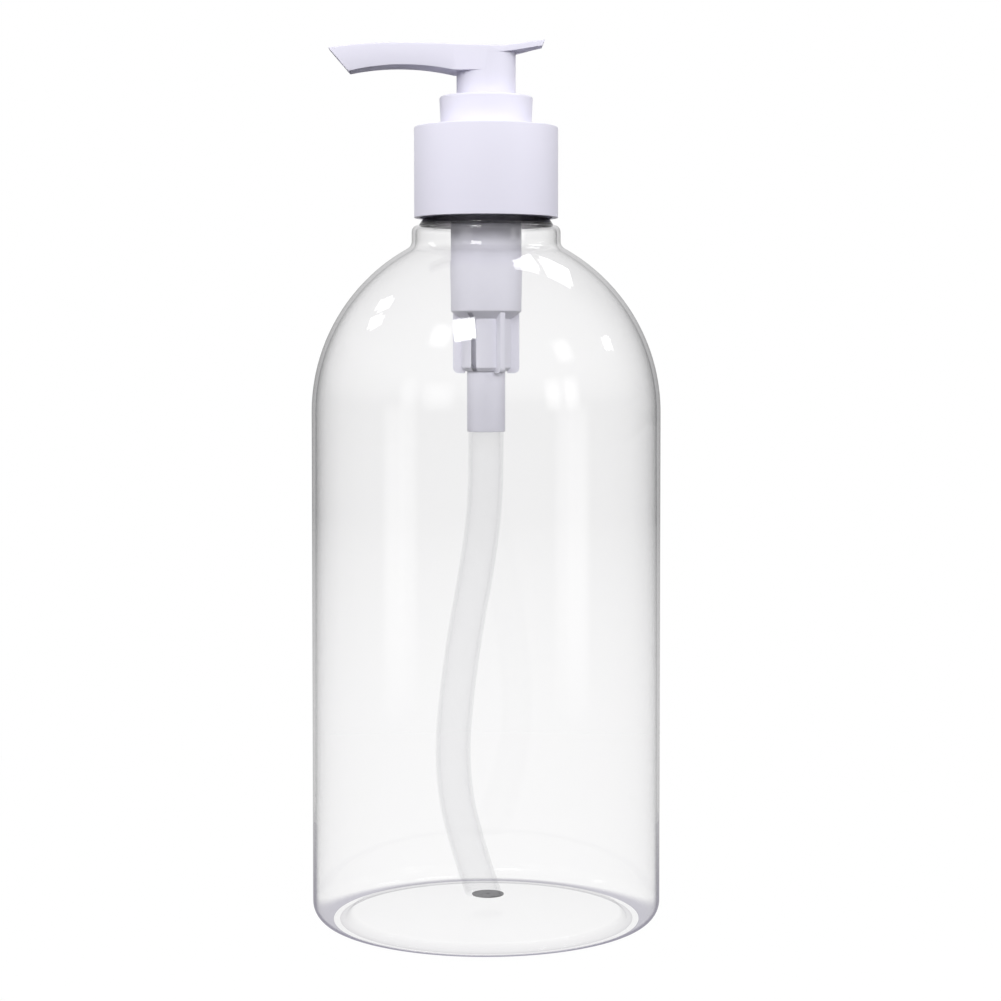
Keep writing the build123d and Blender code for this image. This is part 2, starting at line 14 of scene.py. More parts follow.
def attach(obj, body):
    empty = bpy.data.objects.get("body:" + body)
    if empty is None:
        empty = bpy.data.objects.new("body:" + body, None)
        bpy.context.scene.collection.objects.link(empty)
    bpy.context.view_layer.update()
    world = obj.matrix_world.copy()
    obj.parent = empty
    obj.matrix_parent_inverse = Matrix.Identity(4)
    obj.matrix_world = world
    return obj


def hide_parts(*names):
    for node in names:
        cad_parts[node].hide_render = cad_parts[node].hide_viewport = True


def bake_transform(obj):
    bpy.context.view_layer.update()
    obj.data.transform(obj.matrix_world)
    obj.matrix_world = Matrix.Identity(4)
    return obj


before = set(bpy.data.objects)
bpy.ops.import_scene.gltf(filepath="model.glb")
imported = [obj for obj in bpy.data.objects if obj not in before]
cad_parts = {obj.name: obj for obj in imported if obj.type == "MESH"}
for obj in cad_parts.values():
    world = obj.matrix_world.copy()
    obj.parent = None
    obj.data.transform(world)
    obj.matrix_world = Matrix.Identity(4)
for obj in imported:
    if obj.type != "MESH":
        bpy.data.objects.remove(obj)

log = logging.getLogger("soap_pump")

Colour = tuple[float, float, float]
Piece = bpy.types.Object
Material = bpy.types.Material
Socket = bpy.types.NodeSocket

MM = 0.001
IMAGE_PIXELS = 1001
SENSOR_WIDTH = 36.0
TURN = 2 * math.pi
MERGE_DISTANCE = 1e-7
SHARP_EDGE = math.radians(38)
PURE_WHITE = (1.0, 1.0, 1.0, 1.0)

# Two humps, each a quarter high in the middle, make 1 there with this
HUMP_SCALE = 16.0

# Places nearer than this, in millimetres, count as the same
NEAR = 0.001

# Heights shared by the pieces, in millimetres above the surface that the bottle stands on
NECK_STEP_TOP = 147.692
FINISH_TOP = 165.192
FLANGE_BOTTOM = 165.992
FLANGE_TOP = 166.992
CLOSURE_TOP = 168.392
COLLAR_BOTTOM = 168.592
COLLAR_TOP = 174.792
HEAD_BASE = 179.892
RIBBED_BOTTOM = 116.392
CYLINDER_BOTTOM = 129.492
TAIL_MOUTH = 103.992
SOCKET_TOP = 113.492
SPRING_LEDGE = 123.992
VALVE_HEAD = 133.992
THREAD_START = 154.5
THREAD_PITCH = 25.4 / 6
THREAD_ROWS = 44


class Body(Enum):
    """Moving bodies of the pump that the pieces ride on."""

    BOTTLE = "bottle"
    PUMP = "pump"
    CLOSURE = "closure"
    SPRING = "spring"
    PLUNGER = "plunger"


class Slot(Enum):
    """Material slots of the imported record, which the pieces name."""

    CLEAR = "clear_plastic"
    WHITE = "white_plastic"
    TRANSLUCENT = "translucent_plastic"
    MILKY = "milky_plastic"
    STEEL = "spring_steel"


class LampUse(Enum):
    """What a lamp is for: a shape in reflections, light on surfaces, or both."""

    BOTH = "both"
    GLINT = "glint"
    FILL = "fill"


# Node helpers


class Nodes:
    """Adds and links the nodes of one node tree."""

    def __init__(self, owner: bpy.types.ID) -> None:
        """Take a group's tree, or the emptied tree of a material, a world or a lamp.

        Args:
            owner: What the nodes belong to.
        """
        if isinstance(owner, bpy.types.NodeTree):
            self.tree = owner
        else:
            owner.use_nodes = True
            self.tree = owner.node_tree
            self.tree.nodes.clear()

    def feed(self, target: Socket, value: object) -> None:
        """Set an input to a value, or link an output to it.

        Args:
            target: The input.
            value: A value or an output.
        """
        if isinstance(value, Socket):
            self.tree.links.new(value, target)
        else:
            target.default_value = value

    def add(self, kind: str, *values: object, **settings: object) -> bpy.types.Node:
        """Add a node and fill its inputs and properties.

        Args:
            kind: Blender's class name of the node.
            values: Values or outputs for the first inputs, in their order.
            settings: Values or outputs by the input's name, with _ for a space, or lower-case properties.

        Returns:
            The new node.
        """
        node = self.tree.nodes.new(kind)
        for target, value in zip(node.inputs, values):
            self.feed(target, value)
        for name, value in settings.items():
            if hasattr(node, name):
                setattr(node, name, value)
            else:
                self.feed(node.inputs[name.replace("_", " ")], value)
        return node

    def math(self, operation: str, *values: object) -> Socket:
        """Calculate with numbers or outputs."""
        return self.add("ShaderNodeMath", *values, operation=operation).outputs[0]

    def product(self, *values: object) -> Socket:
        """Multiply numbers or outputs."""
        return reduce(lambda first, second: self.math("MULTIPLY", first, second), values)

    def part(self, vector: Socket, axis: str) -> Socket:
        """Take one axis out of a vector."""
        return self.add("ShaderNodeSeparateXYZ", vector).outputs[axis]

    def length(self, vector: Socket) -> Socket:
        """Measure a vector."""
        return self.add("ShaderNodeVectorMath", vector, operation="LENGTH").outputs["Value"]

    def spread(self, value: Socket, *ends: float, smooth: bool = False) -> Socket:
        """Map a value from one range to another, or to 0 to 1, and clamp it there."""
        kind = "SMOOTHSTEP" if smooth else "LINEAR"
        return self.add("ShaderNodeMapRange", value, *ends, interpolation_type=kind).outputs[0]

    def mix(self, share: Socket, first: object, second: object) -> Socket:
        """Mix two colours.

        Args:
            share: Share of the second one.
            first: Colour or output.
            second: Colour or output.

        Returns:
            The mixed colour.
        """
        node = self.add("ShaderNodeMix", share, data_type="RGBA")
        self.feed(node.inputs[6], first)
        self.feed(node.inputs[7], second)
        return node.outputs[2]

    def place(self, across: float = 1.0, stretch: float = 1.0) -> Socket:
        """Give object coordinates, scaled across and stretched upwards."""
        spot = self.add("ShaderNodeTexCoord").outputs["Object"]
        return self.add("ShaderNodeMapping", spot, Scale=(across, across, 1.0 / stretch)).outputs[0]

    def noise(self, place: Socket, scale: object, detail: float = 2.0) -> Socket:
        """Add a noise pattern."""
        return self.add("ShaderNodeTexNoise", Vector=place, Scale=scale, Detail=detail).outputs[0]

    def bump(self, height: Socket, distance: float) -> Socket:
        """Turn a height into a normal."""
        return self.add("ShaderNodeBump", Height=height, Distance=distance).outputs[0]

    def absorb(self, colour: Colour, density: float) -> Socket:
        """Darken light by its way through the wall."""
        return self.add("ShaderNodeVolumeAbsorption", Color=(*colour, 1.0), Density=density).outputs[0]


def moulded_group() -> bpy.types.NodeTree:
    """Build the shared surface of moulded plastic: cloudy colour, uneven gloss and a fine skin.

    Returns:
        A node group with Colour, Roughness and Height outputs.
    """
    group = bpy.data.node_groups.new("moulded_surface", "ShaderNodeTree")
    for way, name, kind in (
        ("INPUT", "Vector", "Vector"),
        ("INPUT", "Colour", "Color"),
        ("INPUT", "Cloud Scale", "Float"),
        ("INPUT", "Cloud Depth", "Float"),
        ("INPUT", "Skin Scale", "Float"),
        ("INPUT", "Roughness", "Float"),
        ("INPUT", "Roughness Depth", "Float"),
        ("OUTPUT", "Colour", "Color"),
        ("OUTPUT", "Roughness", "Float"),
        ("OUTPUT", "Height", "Float"),
    ):
        group.interface.new_socket(name, in_out=way, socket_type=f"NodeSocket{kind}")
    nodes = Nodes(group)
    source = nodes.add("NodeGroupInput").outputs
    cloud = nodes.noise(source["Vector"], source["Cloud Scale"])
    skin = nodes.noise(source["Vector"], source["Skin Scale"], 3.0)
    shade = nodes.math("MULTIPLY_ADD", nodes.math("SUBTRACT", cloud, 0.5), source["Cloud Depth"], 1.0)
    gloss = nodes.math("SUBTRACT", skin, 0.5)
    nodes.add(
        "NodeGroupOutput",
        Colour=nodes.add("ShaderNodeVectorMath", source["Colour"], operation="SCALE", Scale=shade).outputs[0],
        Roughness=nodes.math("MULTIPLY_ADD", gloss, source["Roughness Depth"], source["Roughness"]),
        Height=skin,
    )
    return group


# Finishes


@dataclass(frozen=True)
class MouldedPlastic:
    """Opaque or milky moulded plastic with a faintly uneven skin."""

    name: str
    colour: Colour
    roughness: float
    cloud_depth: float = 0.03
    cloud_scale: float = 70.0
    skin_scale: float = 1400.0
    roughness_depth: float = 0.08
    skin_height: float = 0.000003
    stretch: float = 1.0
    cover: float = 1.0
    gloss: float = 0.5
    absorption: Colour = (0.2, 0.2, 0.24)
    density: float = 0.0

    def material(self, surface: bpy.types.NodeTree) -> Material:
        """Build the material.

        Args:
            surface: The shared moulded surface group.

        Returns:
            The finished material.
        """
        material = bpy.data.materials.new(self.name)
        nodes = Nodes(material)
        skin = nodes.add(
            "ShaderNodeGroup",
            node_tree=surface,
            Vector=nodes.place(stretch=self.stretch),
            Colour=(*self.colour, 1.0),
            Cloud_Scale=self.cloud_scale,
            Cloud_Depth=self.cloud_depth,
            Skin_Scale=self.skin_scale,
            Roughness=self.roughness,
            Roughness_Depth=self.roughness_depth,
        ).outputs
        shader = nodes.add(
            "ShaderNodeBsdfPrincipled",
            Base_Color=skin["Colour"],
            Roughness=skin["Roughness"],
            Normal=nodes.bump(skin["Height"], self.skin_height),
            Alpha=self.cover,
            Specular_IOR_Level=self.gloss,
        )
        output = nodes.add("ShaderNodeOutputMaterial", Surface=shader.outputs[0])
        if self.density:
            nodes.feed(output.inputs["Volume"], nodes.absorb(self.absorption, self.density))
        return material


@dataclass(frozen=True)
class ClearPlastic:
    """Clear blow-moulded plastic: rays go straight through, edges darken by the wall's thickness and by
    painted shade in the gloss, and painted shade lies on the standing ring and along the heel's edge.
    """

    name: str = "clear_plastic"
    facing_gloss: float = 0.045
    roughness: float = 0.03
    absorption: Colour = (0.15, 0.13, 0.17)
    density: float = 48.0
    # Grey that the gloss turns to on upright faces at grazing angles: painted shade at the edges
    painted_edge_shade: float = 0.5
    grazing_power: float = 5.0
    level_gloss: float = 0.15
    level_power: float = 8.0
    # Painted shade on the standing ring
    foot_start: float = 0.0283
    foot_end: float = 0.0313
    foot_height: float = 0.003
    painted_foot_shade: Colour = (0.8, 0.795, 0.81)
    heel_gloss: float = 0.2
    heel_height: float = 0.022
    # Painted shade: a dark line along the heel's outer edge
    line_start: float = 0.0326
    line_side: float = 0.26
    line_front: float = 0.42
    line_core: float = 0.5
    painted_line_shade: Colour = (0.6, 0.59, 0.65)
    ripple_scale: float = 26.0
    ripple_detail: float = 1.5
    ripple_height: float = 0.00003
    ripple_stretch: float = 2.5

    def painted_base_shade(self, nodes: Nodes, place: Socket, facing: Socket) -> Socket:
        """Paint shade on the standing ring, and a dark line of painted shade along the heel's outer edge.

        Args:
            nodes: Node helper of the material.
            place: Object coordinates.
            facing: How far the surface turns away from the eye.

        Returns:
            Colour that the light takes on at the surface.
        """
        height = nodes.part(place, "Z")
        flat = nodes.add("ShaderNodeVectorMath", place, (1.0, 1.0, 0.0), operation="MULTIPLY")
        away = nodes.length(flat.outputs[0])
        side = nodes.add("ShaderNodeNewGeometry").outputs
        slope = nodes.part(side["Normal"], "Z")
        outward = nodes.math("MULTIPLY_ADD", side["Backfacing"], -2.0, 1.0)
        under = nodes.math("LESS_THAN", nodes.product(slope, outward), 0.0)
        # Mask of the standing ring, where painted shade darkens the light that passes through
        ring = nodes.product(
            nodes.spread(away, self.foot_start, self.foot_end),
            nodes.math("LESS_THAN", away, self.foot_end),
            nodes.math("LESS_THAN", height, self.foot_height),
            under,
        )
        tint = nodes.mix(ring, PURE_WHITE, (*self.painted_foot_shade, 1.0))
        # Mask of the dark line along the heel's outer edge: painted shade
        width = nodes.math("MULTIPLY_ADD", nodes.product(slope, slope), self.line_front, self.line_side)
        inwards = nodes.math("DIVIDE", nodes.math("SUBTRACT", 1.0, facing), width)
        line = nodes.product(
            nodes.spread(inwards, 1.0, self.line_core, smooth=True),
            nodes.math("LESS_THAN", height, self.heel_height),
            nodes.math("GREATER_THAN", away, self.line_start),
            under,
        )
        return nodes.mix(line, tint, (*self.painted_line_shade, 1.0))

    def material(self) -> Material:
        """Build the material with its gloss by viewing angle and its absorbing wall.

        Returns:
            The finished material.
        """
        material = bpy.data.materials.new(self.name)
        nodes = Nodes(material)
        place = nodes.place()
        ripple = nodes.noise(nodes.place(stretch=self.ripple_stretch), self.ripple_scale, self.ripple_detail)
        facing = nodes.add("ShaderNodeLayerWeight", Blend=0.5).outputs["Facing"]
        grazing = nodes.math("POWER", facing, self.grazing_power)
        normal = nodes.add("ShaderNodeNewGeometry").outputs["Normal"]
        tilt = nodes.math("ABSOLUTE", nodes.part(normal, "Z"))
        level = nodes.math("POWER", tilt, self.level_power)
        bright = nodes.product(grazing, nodes.math("MULTIPLY_ADD", level, self.level_gloss - 1.0, 1.0))
        share = nodes.math("MULTIPLY_ADD", bright, 1.0 - self.facing_gloss, self.facing_gloss)
        heel = nodes.spread(nodes.part(place, "Z"), 0.0, self.heel_height, self.heel_gloss)
        upright = nodes.math("SUBTRACT", 1.0, nodes.product(tilt, tilt))
        # The gloss turns grey on upright faces at grazing angles: painted shade at the bottle's edges
        edge = (self.painted_edge_shade, self.painted_edge_shade, self.painted_edge_shade, 1.0)
        gloss = nodes.add(
            "ShaderNodeBsdfGlossy",
            Color=nodes.mix(nodes.product(grazing, upright), PURE_WHITE, edge),
            Roughness=self.roughness,
            Normal=nodes.bump(ripple, self.ripple_height),
        ).outputs[0]
        tint = self.painted_base_shade(nodes, place, facing)
        through = nodes.add("ShaderNodeBsdfTransparent", Color=tint).outputs[0]
        nodes.add(
            "ShaderNodeOutputMaterial",
            Surface=nodes.add("ShaderNodeMixShader", nodes.product(share, heel), through, gloss).outputs[0],
            Volume=nodes.absorb(self.absorption, self.density),
        )
        return material


@dataclass(frozen=True)
class Polished:
    """Polished glass or drawn steel with fine streaks in its gloss."""

    name: str
    colour: Colour
    roughness: float
    streak_scale: float
    streak_depth: float
    streak_detail: float = 2.0
    streak_across: float = 1.0
    streak_height: float = 0.0
    transmission: float = 0.0
    metallic: float = 0.0
    ior: float = 1.5

    def material(self) -> Material:
        """Build the material.

        Returns:
            The finished material.
        """
        material = bpy.data.materials.new(self.name)
        nodes = Nodes(material)
        streak = nodes.noise(nodes.place(self.streak_across), self.streak_scale, self.streak_detail)
        shader = nodes.add(
            "ShaderNodeBsdfPrincipled",
            Base_Color=(*self.colour, 1.0),
            Roughness=nodes.math("MULTIPLY_ADD", streak, self.streak_depth, self.roughness),
            Transmission_Weight=self.transmission,
            Metallic=self.metallic,
            IOR=self.ior,
        )
        if self.streak_height:
            nodes.feed(shader.inputs["Normal"], nodes.bump(streak, self.streak_height))
        nodes.add("ShaderNodeOutputMaterial", Surface=shader.outputs[0])
        return material


WHITE = MouldedPlastic("white_plastic", (0.78, 0.765, 0.87), 0.36, gloss=0.15)
SATIN = MouldedPlastic("satin_plastic", (0.78, 0.765, 0.87), 0.5, gloss=0.002)
TRANSLUCENT = MouldedPlastic(
    "translucent_plastic", (0.84, 0.83, 0.92), 0.42, 0.06, 90.0, cover=0.9, gloss=0.3
)
MILKY = MouldedPlastic(
    "milky_plastic", (0.92, 0.92, 0.95), 0.38, 0.05, 160.0, stretch=8.0, cover=0.05, gloss=0.3, density=50.0
)
# Dark see-through plastic of the disc in the dip tube's mouth: painted shade in the bore
PAINTED_SHADE = MouldedPlastic("painted_shade_plastic", (0.05, 0.05, 0.055), 0.4, 0.2, 300.0, cover=0.75, gloss=0.2)
SOFT = MouldedPlastic("soft_plastic", (0.80, 0.80, 0.82), 0.5)
FOAM = MouldedPlastic("foam", (0.86, 0.86, 0.86), 0.8, 0.12, 900.0, 2600.0, 0.1, 0.00008)
CLEAR = ClearPlastic()
# Clear plastic made dark in depth for the neck bead: painted shade
PAINTED_SHADE_CLEAR = ClearPlastic("painted_shade_clear_plastic", density=1100.0)
BALL_GLASS = Polished("ball_glass", (0.82, 0.88, 0.88), 0.04, 400.0, 0.06, transmission=0.9)
STEEL = Polished("spring_steel", (0.55, 0.55, 0.56), 0.24, 2600.0, 0.16, 3.0, 0.15, 0.000004, metallic=1.0)


# Modelling helpers


def leave_edit() -> None:
    """Go back to object mode."""
    bpy.ops.object.mode_set(mode="OBJECT")


def deselect_all() -> None:
    """Leave edit mode and empty the selection."""
    if bpy.context.object and bpy.context.object.mode != "OBJECT":
        leave_edit()
    bpy.ops.object.select_all(action="DESELECT")


def make_active(piece: Piece) -> None:
    """Select one piece alone and make it active.

    Args:
        piece: The piece.
    """
    deselect_all()
    piece.select_set(True)
    bpy.context.view_layer.objects.active = piece


def edit_piece(piece: Piece, action: str = "SELECT") -> None:
    """Go into edit mode with all of a piece selected, or with nothing.

    Args:
        piece: The piece.
        action: SELECT or DESELECT.
    """
    make_active(piece)
    bpy.ops.object.mode_set(mode="EDIT")
    bpy.ops.mesh.select_mode(type="VERT")
    bpy.ops.mesh.select_all(action=action)


def select_vertices(piece: Piece, test: Callable[[Vector], bool]) -> None:
    """Select the vertices of a piece by their place and go into edit mode.

    Args:
        piece: The piece.
        test: Says whether a vertex at this place is selected.
    """
    edit_piece(piece, "DESELECT")
    leave_edit()
    for vertex in piece.data.vertices:
        vertex.select = test(vertex.co)
    bpy.ops.object.mode_set(mode="EDIT")


def select_edges(piece: Piece, test: Callable[[Vector, Vector], bool]) -> None:
    """Select the edges of a piece by their ends and go into edit mode.

    Args:
        piece: The piece.
        test: Says whether an edge between these two places is selected.
    """
    edit_piece(piece, "DESELECT")
    bpy.ops.mesh.select_mode(type="EDGE")
    leave_edit()
    places = [vertex.co for vertex in piece.data.vertices]
    for edge in piece.data.edges:
        edge.select = test(places[edge.vertices[0]], places[edge.vertices[1]])
    bpy.ops.object.mode_set(mode="EDIT")


def bevel_edges(
    piece: Piece, test: Callable[[Vector, Vector], bool], offset: float, segments: int, clamp: bool = False
) -> None:
    """Round the edges of a piece that a test picks by their ends.

    Args:
        piece: The piece.
        test: Says whether an edge between these two places is rounded.
        offset: Width of the rounding in millimetres.
        segments: Number of pieces of the rounding.
        clamp: Whether the rounding stops where it meets another.
    """
    select_edges(piece, test)
    bpy.ops.mesh.bevel(offset=offset * MM, segments=segments, affect="EDGES", clamp_overlap=clamp)
    leave_edit()


def clean_mesh(piece: Piece) -> None:
    """Merge doubles and point all faces outwards.

    Args:
        piece: The piece.
    """
    edit_piece(piece)
    bpy.ops.mesh.remove_doubles(threshold=MERGE_DISTANCE)
    bpy.ops.mesh.normals_make_consistent(inside=False)
    leave_edit()


def shade_smooth(piece: Piece) -> None:
    """Shade a piece smooth, except over its sharp edges."""
    make_active(piece)
    bpy.ops.object.shade_smooth_by_angle(angle=SHARP_EDGE)


def add_piece(name: str, primitive: Callable[..., object], **settings: object) -> Piece:
    """Add a primitive that a piece is shaped from, with its place and turn in its mesh.

    Args:
        name: Name of the piece and of its mesh.
        primitive: Operator that adds it.
        settings: What the operator is told.

    Returns:
        The new piece.
    """
    deselect_all()
    primitive(**settings)
    piece = bpy.context.object
    piece.name = name
    piece.data.name = name
    bpy.ops.object.transform_apply()
    return piece


def join_pieces(piece: Piece, other: Piece) -> None:
    """Join another piece into the first one.

    Args:
        piece: The piece that stays.
        other: The piece that is used up.
    """
    make_active(piece)
    other.select_set(True)
    bpy.ops.object.join()


def modify(piece: Piece, kind: str, **settings: object) -> None:
    """Add a modifier to a piece and apply it.

    Args:
        piece: The piece.
        kind: Blender's name of the modifier's type.
        settings: Properties of the modifier.
    """
    make_active(piece)
    bpy.ops.object.modifier_add(type=kind)
    modifier = piece.modifiers[-1]
    for name, value in settings.items():
        setattr(modifier, name, value)
    bpy.ops.object.modifier_apply(modifier=modifier.name)


def combine(piece: Piece, tool: Piece, operation: str) -> None:
    """Cut a tool out of a piece, or weld it on, and delete the tool."""
    modify(piece, "BOOLEAN", operation=operation, solver="EXACT", object=tool)
    bpy.data.objects.remove(tool)


def dress(piece: Piece, material: Material) -> None:
    """Give a piece one material all over."""
    piece.data.materials.clear()
    piece.data.materials.append(material)


def finish_piece(piece: Piece, material: Material, body: Body, slot: Slot, *nodes: str) -> None:
    """Shade and dress a piece, let it take the place of CAD nodes and move with a body.

    Args:
        piece: The modelled piece.
        material: Its material.
        body: Body that it rides on.
        slot: Material slot of the record; not used.
        nodes: CAD nodes that it stands for, if any.
    """
    shade_smooth(piece)
    dress(piece, material)
    if nodes:
        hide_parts(*nodes)
    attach(piece, body.value)
    log.info("%s: %d faces, rides on %s", piece.name, len(piece.data.polygons), body.value)


class Outline:
    """Pen that draws a half section, in millimetres of radius and height, and spins it round the axis."""

    def __init__(self, name: str, radius: float, height: float) -> None:
        """Put the pen down at a first point.

        Args:
            name: Name of the piece.
            radius: Radius of the point.
            height: Height of the point.
        """
        self.piece = add_piece(name, bpy.ops.mesh.primitive_plane_add, size=MM)
        self.place = Vector((radius, 0.0, height))
        self.rounds: list[tuple[Vector, float, int]] = []
        edit_piece(self.piece)
        bpy.ops.mesh.merge(type="CENTER")
        bpy.ops.transform.translate(value=self.place * MM)

    def line(self, radius: float, height: float, rows: int = 1) -> None:
        """Draw a straight line.

        Args:
            radius: Radius of its end.
            height: Height of its end.
            rows: Number of pieces that the line is drawn in.
        """
        step = (Vector((radius, 0.0, height)) - self.place) / rows
        for _ in range(rows):
            bpy.ops.mesh.extrude_vertices_move(TRANSFORM_OT_translate={"value": step * MM})
        self.place = Vector((radius, 0.0, height))

    def path(self, *points: tuple[float, float]) -> None:
        """Draw straight lines from point to point."""
        for radius, height in points:
            self.line(radius, height)

    def mark(self, rounding: float, segments: int = 5) -> None:
        """Mark the pen's place as a corner that is rounded later."""
        self.rounds.append((self.place.copy(), rounding, segments))

    def corner(self, radius: float, height: float, rounding: float, segments: int = 5) -> None:
        """Draw a straight line to a corner that is rounded later.

        Args:
            radius: Radius of the corner.
            height: Height of the corner.
            rounding: Radius of the rounding.
            segments: Number of pieces of the rounding.
        """
        self.line(radius, height)
        self.mark(rounding, segments)

    def arc(self, centre_radius: float, centre_height: float, sweep: float, steps: int) -> None:
        """Draw an arc about a centre.

        Args:
            centre_radius: Radius of the centre.
            centre_height: Height of the centre.
            sweep: Angle in radians, from the radius direction towards up.
            steps: Number of pieces of the arc.
        """
        centre = Vector((centre_radius, 0.0, centre_height))
        spoke = self.place - centre
        for index in range(1, steps + 1):
            end = centre + Matrix.Rotation(-sweep * index / steps, 3, "Y") @ spoke
            self.line(end.x, end.z)

    def round_corners(self) -> None:
        """Bevel the corners that were marked while drawing."""
        mesh = self.piece.data
        for place, rounding, segments in self.rounds:
            leave_edit()
            nearest = min(mesh.vertices, key=lambda vertex: (vertex.co - place * MM).length)
            ways = []
            for edge in mesh.edges:
                ends = list(edge.vertices)
                if nearest.index in ends:
                    ends.remove(nearest.index)
                    ways.append((mesh.vertices[ends[0]].co - nearest.co).normalized())
            opening = ways[0].angle(ways[1])
            select_vertices(self.piece, lambda spot, at=place * MM: (spot - at).length < NEAR * MM)
            offset = rounding * MM / math.tan(opening / 2)
            bpy.ops.mesh.bevel(offset=offset, segments=segments, affect="VERTICES")

    def spin(self, steps: int) -> Piece:
        """Round the marked corners and spin the outline once round the pump's axis.

        Args:
            steps: Number of steps of the turn.

        Returns:
            The closed piece, at the origin.
        """
        self.round_corners()
        bpy.ops.mesh.select_all(action="SELECT")
        bpy.ops.mesh.spin(steps=steps, angle=TURN, center=(0.0, 0.0, 0.0), axis=(0.0, 0.0, 1.0))
        leave_edit()
        clean_mesh(self.piece)
        shade_smooth(self.piece)
        return self.piece


@dataclass(frozen=True)
class Thread:
    """Screw thread pressed out of a smooth turned wall, in millimetres."""

    wall: float
    crest: float
    pitch: float
    turns: float
    start: float
    root_width: float
    crest_width: float
    fade: float = 0.12

    def height_at(self, place: Vector) -> float:
        """How far out of the wall the thread stands at a place.

        Args:
            place: Place on the wall, in metres.

        Returns:
            Share of the full height, from 0 to 1.
        """
        around = math.atan2(place.y, place.x) % TURN / TURN
        climb = (place.z / MM - self.start) / self.pitch
        turn = round(climb - around) + around
        inside = min(turn, self.turns - turn) / self.fade
        if inside <= 0.0:
            return 0.0
        drop = abs(climb - turn) * self.pitch
        flank = (self.root_width / 2 - drop) / ((self.root_width - self.crest_width) / 2)
        return max(0.0, min(1.0, flank)) * min(1.0, inside)

    def press(self, piece: Piece) -> None:
        """Move the wall's vertices out to the thread.

        Args:
            piece: The turned piece.
        """
        for vertex in piece.data.vertices:
            radius = math.hypot(vertex.co.x, vertex.co.y)
            if abs(radius / MM - self.wall) > NEAR:
                continue
            share = self.height_at(vertex.co)
            scale = 1.0 + share * (self.crest / self.wall - 1.0)
            vertex.co.x *= scale
            vertex.co.y *= scale


NECK_THREAD = Thread(12.6, 13.75, THREAD_PITCH, 1.5, THREAD_START, 2.3, 0.9)
CLOSURE_THREAD = Thread(14.05, 12.95, THREAD_PITCH, 1.5, THREAD_START - THREAD_PITCH / 2, 2.0, 0.8)
COLLAR_THREAD = Thread(6.65, 6.95, 3.0, 1.2, 169.6, 1.6, 0.7)
SKIRT_THREAD = Thread(6.25, 6.55, 3.0, 1.0, 169.9, 1.3, 0.5)


# Sub-assemblies


@dataclass
class Bottle:
    """Clear bottle with a domed shoulder, a threaded neck and a ring foot round a push-up base."""

    radius: float = 37.0
    wall: float = 0.8
    heel_wall: float = 0.5
    base_wall: float = 0.3
    base_corner: float = 4.2
    foot_inner: float = 30.2
    foot_round: float = 0.5
    push_up_edge: float = 28.9
    push_up_step: float = 1.4
    push_up_round: float = 0.9
    push_up_rise: float = 2.4
    shoulder_start: float = 108.1
    shoulder_radius: float = 39.7
    neck_radius: float = 15.77
    neck_fillet: float = 1.8
    neck_round: float = 1.4
    finish_radius: float = 12.6
    finish_round: float = 0.4
    bore_radius: float = 11.0
    thread_bottom: float = FINISH_TOP - 13.0
    thread_top: float = FINISH_TOP - 2.0
    crown_steps: int = 10
    heel_steps: int = 12
    dome_steps: int = 40
    neck_steps: int = 8
    spin_steps: int = 192

    def section(self) -> Outline:
        """Draw the closed half section, outside first and then the hollow.

        Returns:
            The pen, back near the start.
        """
        drop = self.push_up_rise - self.push_up_step
        crown_radius = (self.push_up_edge**2 + drop**2) / (2 * drop)
        crown_sweep = math.asin(self.push_up_edge / crown_radius)
        dome_centre = self.radius - self.shoulder_radius
        fillet_centre = self.neck_radius + self.neck_fillet
        reach = self.shoulder_radius + self.neck_fillet
        dome_sweep = math.acos((fillet_centre - dome_centre) / reach)
        fillet_height = self.shoulder_start + reach * math.sin(dome_sweep)
        inner_crown = self.push_up_rise + self.base_wall
        inner_step = NECK_STEP_TOP - self.wall
        inner_neck = self.neck_radius - self.wall
        pen = Outline("bottle_shell", 0.0, self.push_up_rise)
        pen.arc(0.0, self.push_up_rise - crown_radius, -crown_sweep, self.crown_steps)
        pen.mark(self.push_up_round)
        pen.corner(self.foot_inner, 0.0, self.foot_round)
        pen.corner(self.radius, 0.0, self.base_corner, self.heel_steps)
        pen.line(self.radius, self.shoulder_start)
        pen.arc(dome_centre, self.shoulder_start, dome_sweep, self.dome_steps)
        pen.arc(fillet_centre, fillet_height, -dome_sweep, self.neck_steps)
        pen.corner(self.neck_radius, NECK_STEP_TOP, self.neck_round, self.neck_steps)
        pen.path((self.finish_radius, NECK_STEP_TOP), (self.finish_radius, self.thread_bottom))
        pen.line(self.finish_radius, self.thread_top, THREAD_ROWS)
        pen.corner(self.finish_radius, FINISH_TOP, self.finish_round)
        pen.path((self.bore_radius, FINISH_TOP), (self.bore_radius, inner_step))
        pen.corner(inner_neck, inner_step, self.neck_round - self.wall)
        pen.line(inner_neck, fillet_height)
        pen.arc(fillet_centre, fillet_height, dome_sweep, self.neck_steps)
        pen.arc(dome_centre, self.shoulder_start, -dome_sweep, self.dome_steps)
        heel_round = self.base_corner - self.heel_wall
        pen.corner(self.radius - self.heel_wall, self.base_wall, heel_round, self.heel_steps)
        pen.corner(self.foot_inner, self.base_wall, self.foot_round)
        pen.corner(self.push_up_edge, self.push_up_step + self.base_wall, self.push_up_round)
        pen.arc(0.0, inner_crown - crown_radius, crown_sweep, self.crown_steps)
        return pen

    def build(self, clear: Material) -> None:
        """Spin the shell, press the neck's thread and finish it.

        Args:
            clear: Clear plastic.
        """
        shell = self.section().spin(self.spin_steps)
        NECK_THREAD.press(shell)
        finish_piece(shell, clear, Body.BOTTLE, Slot.CLEAR, "bottle")


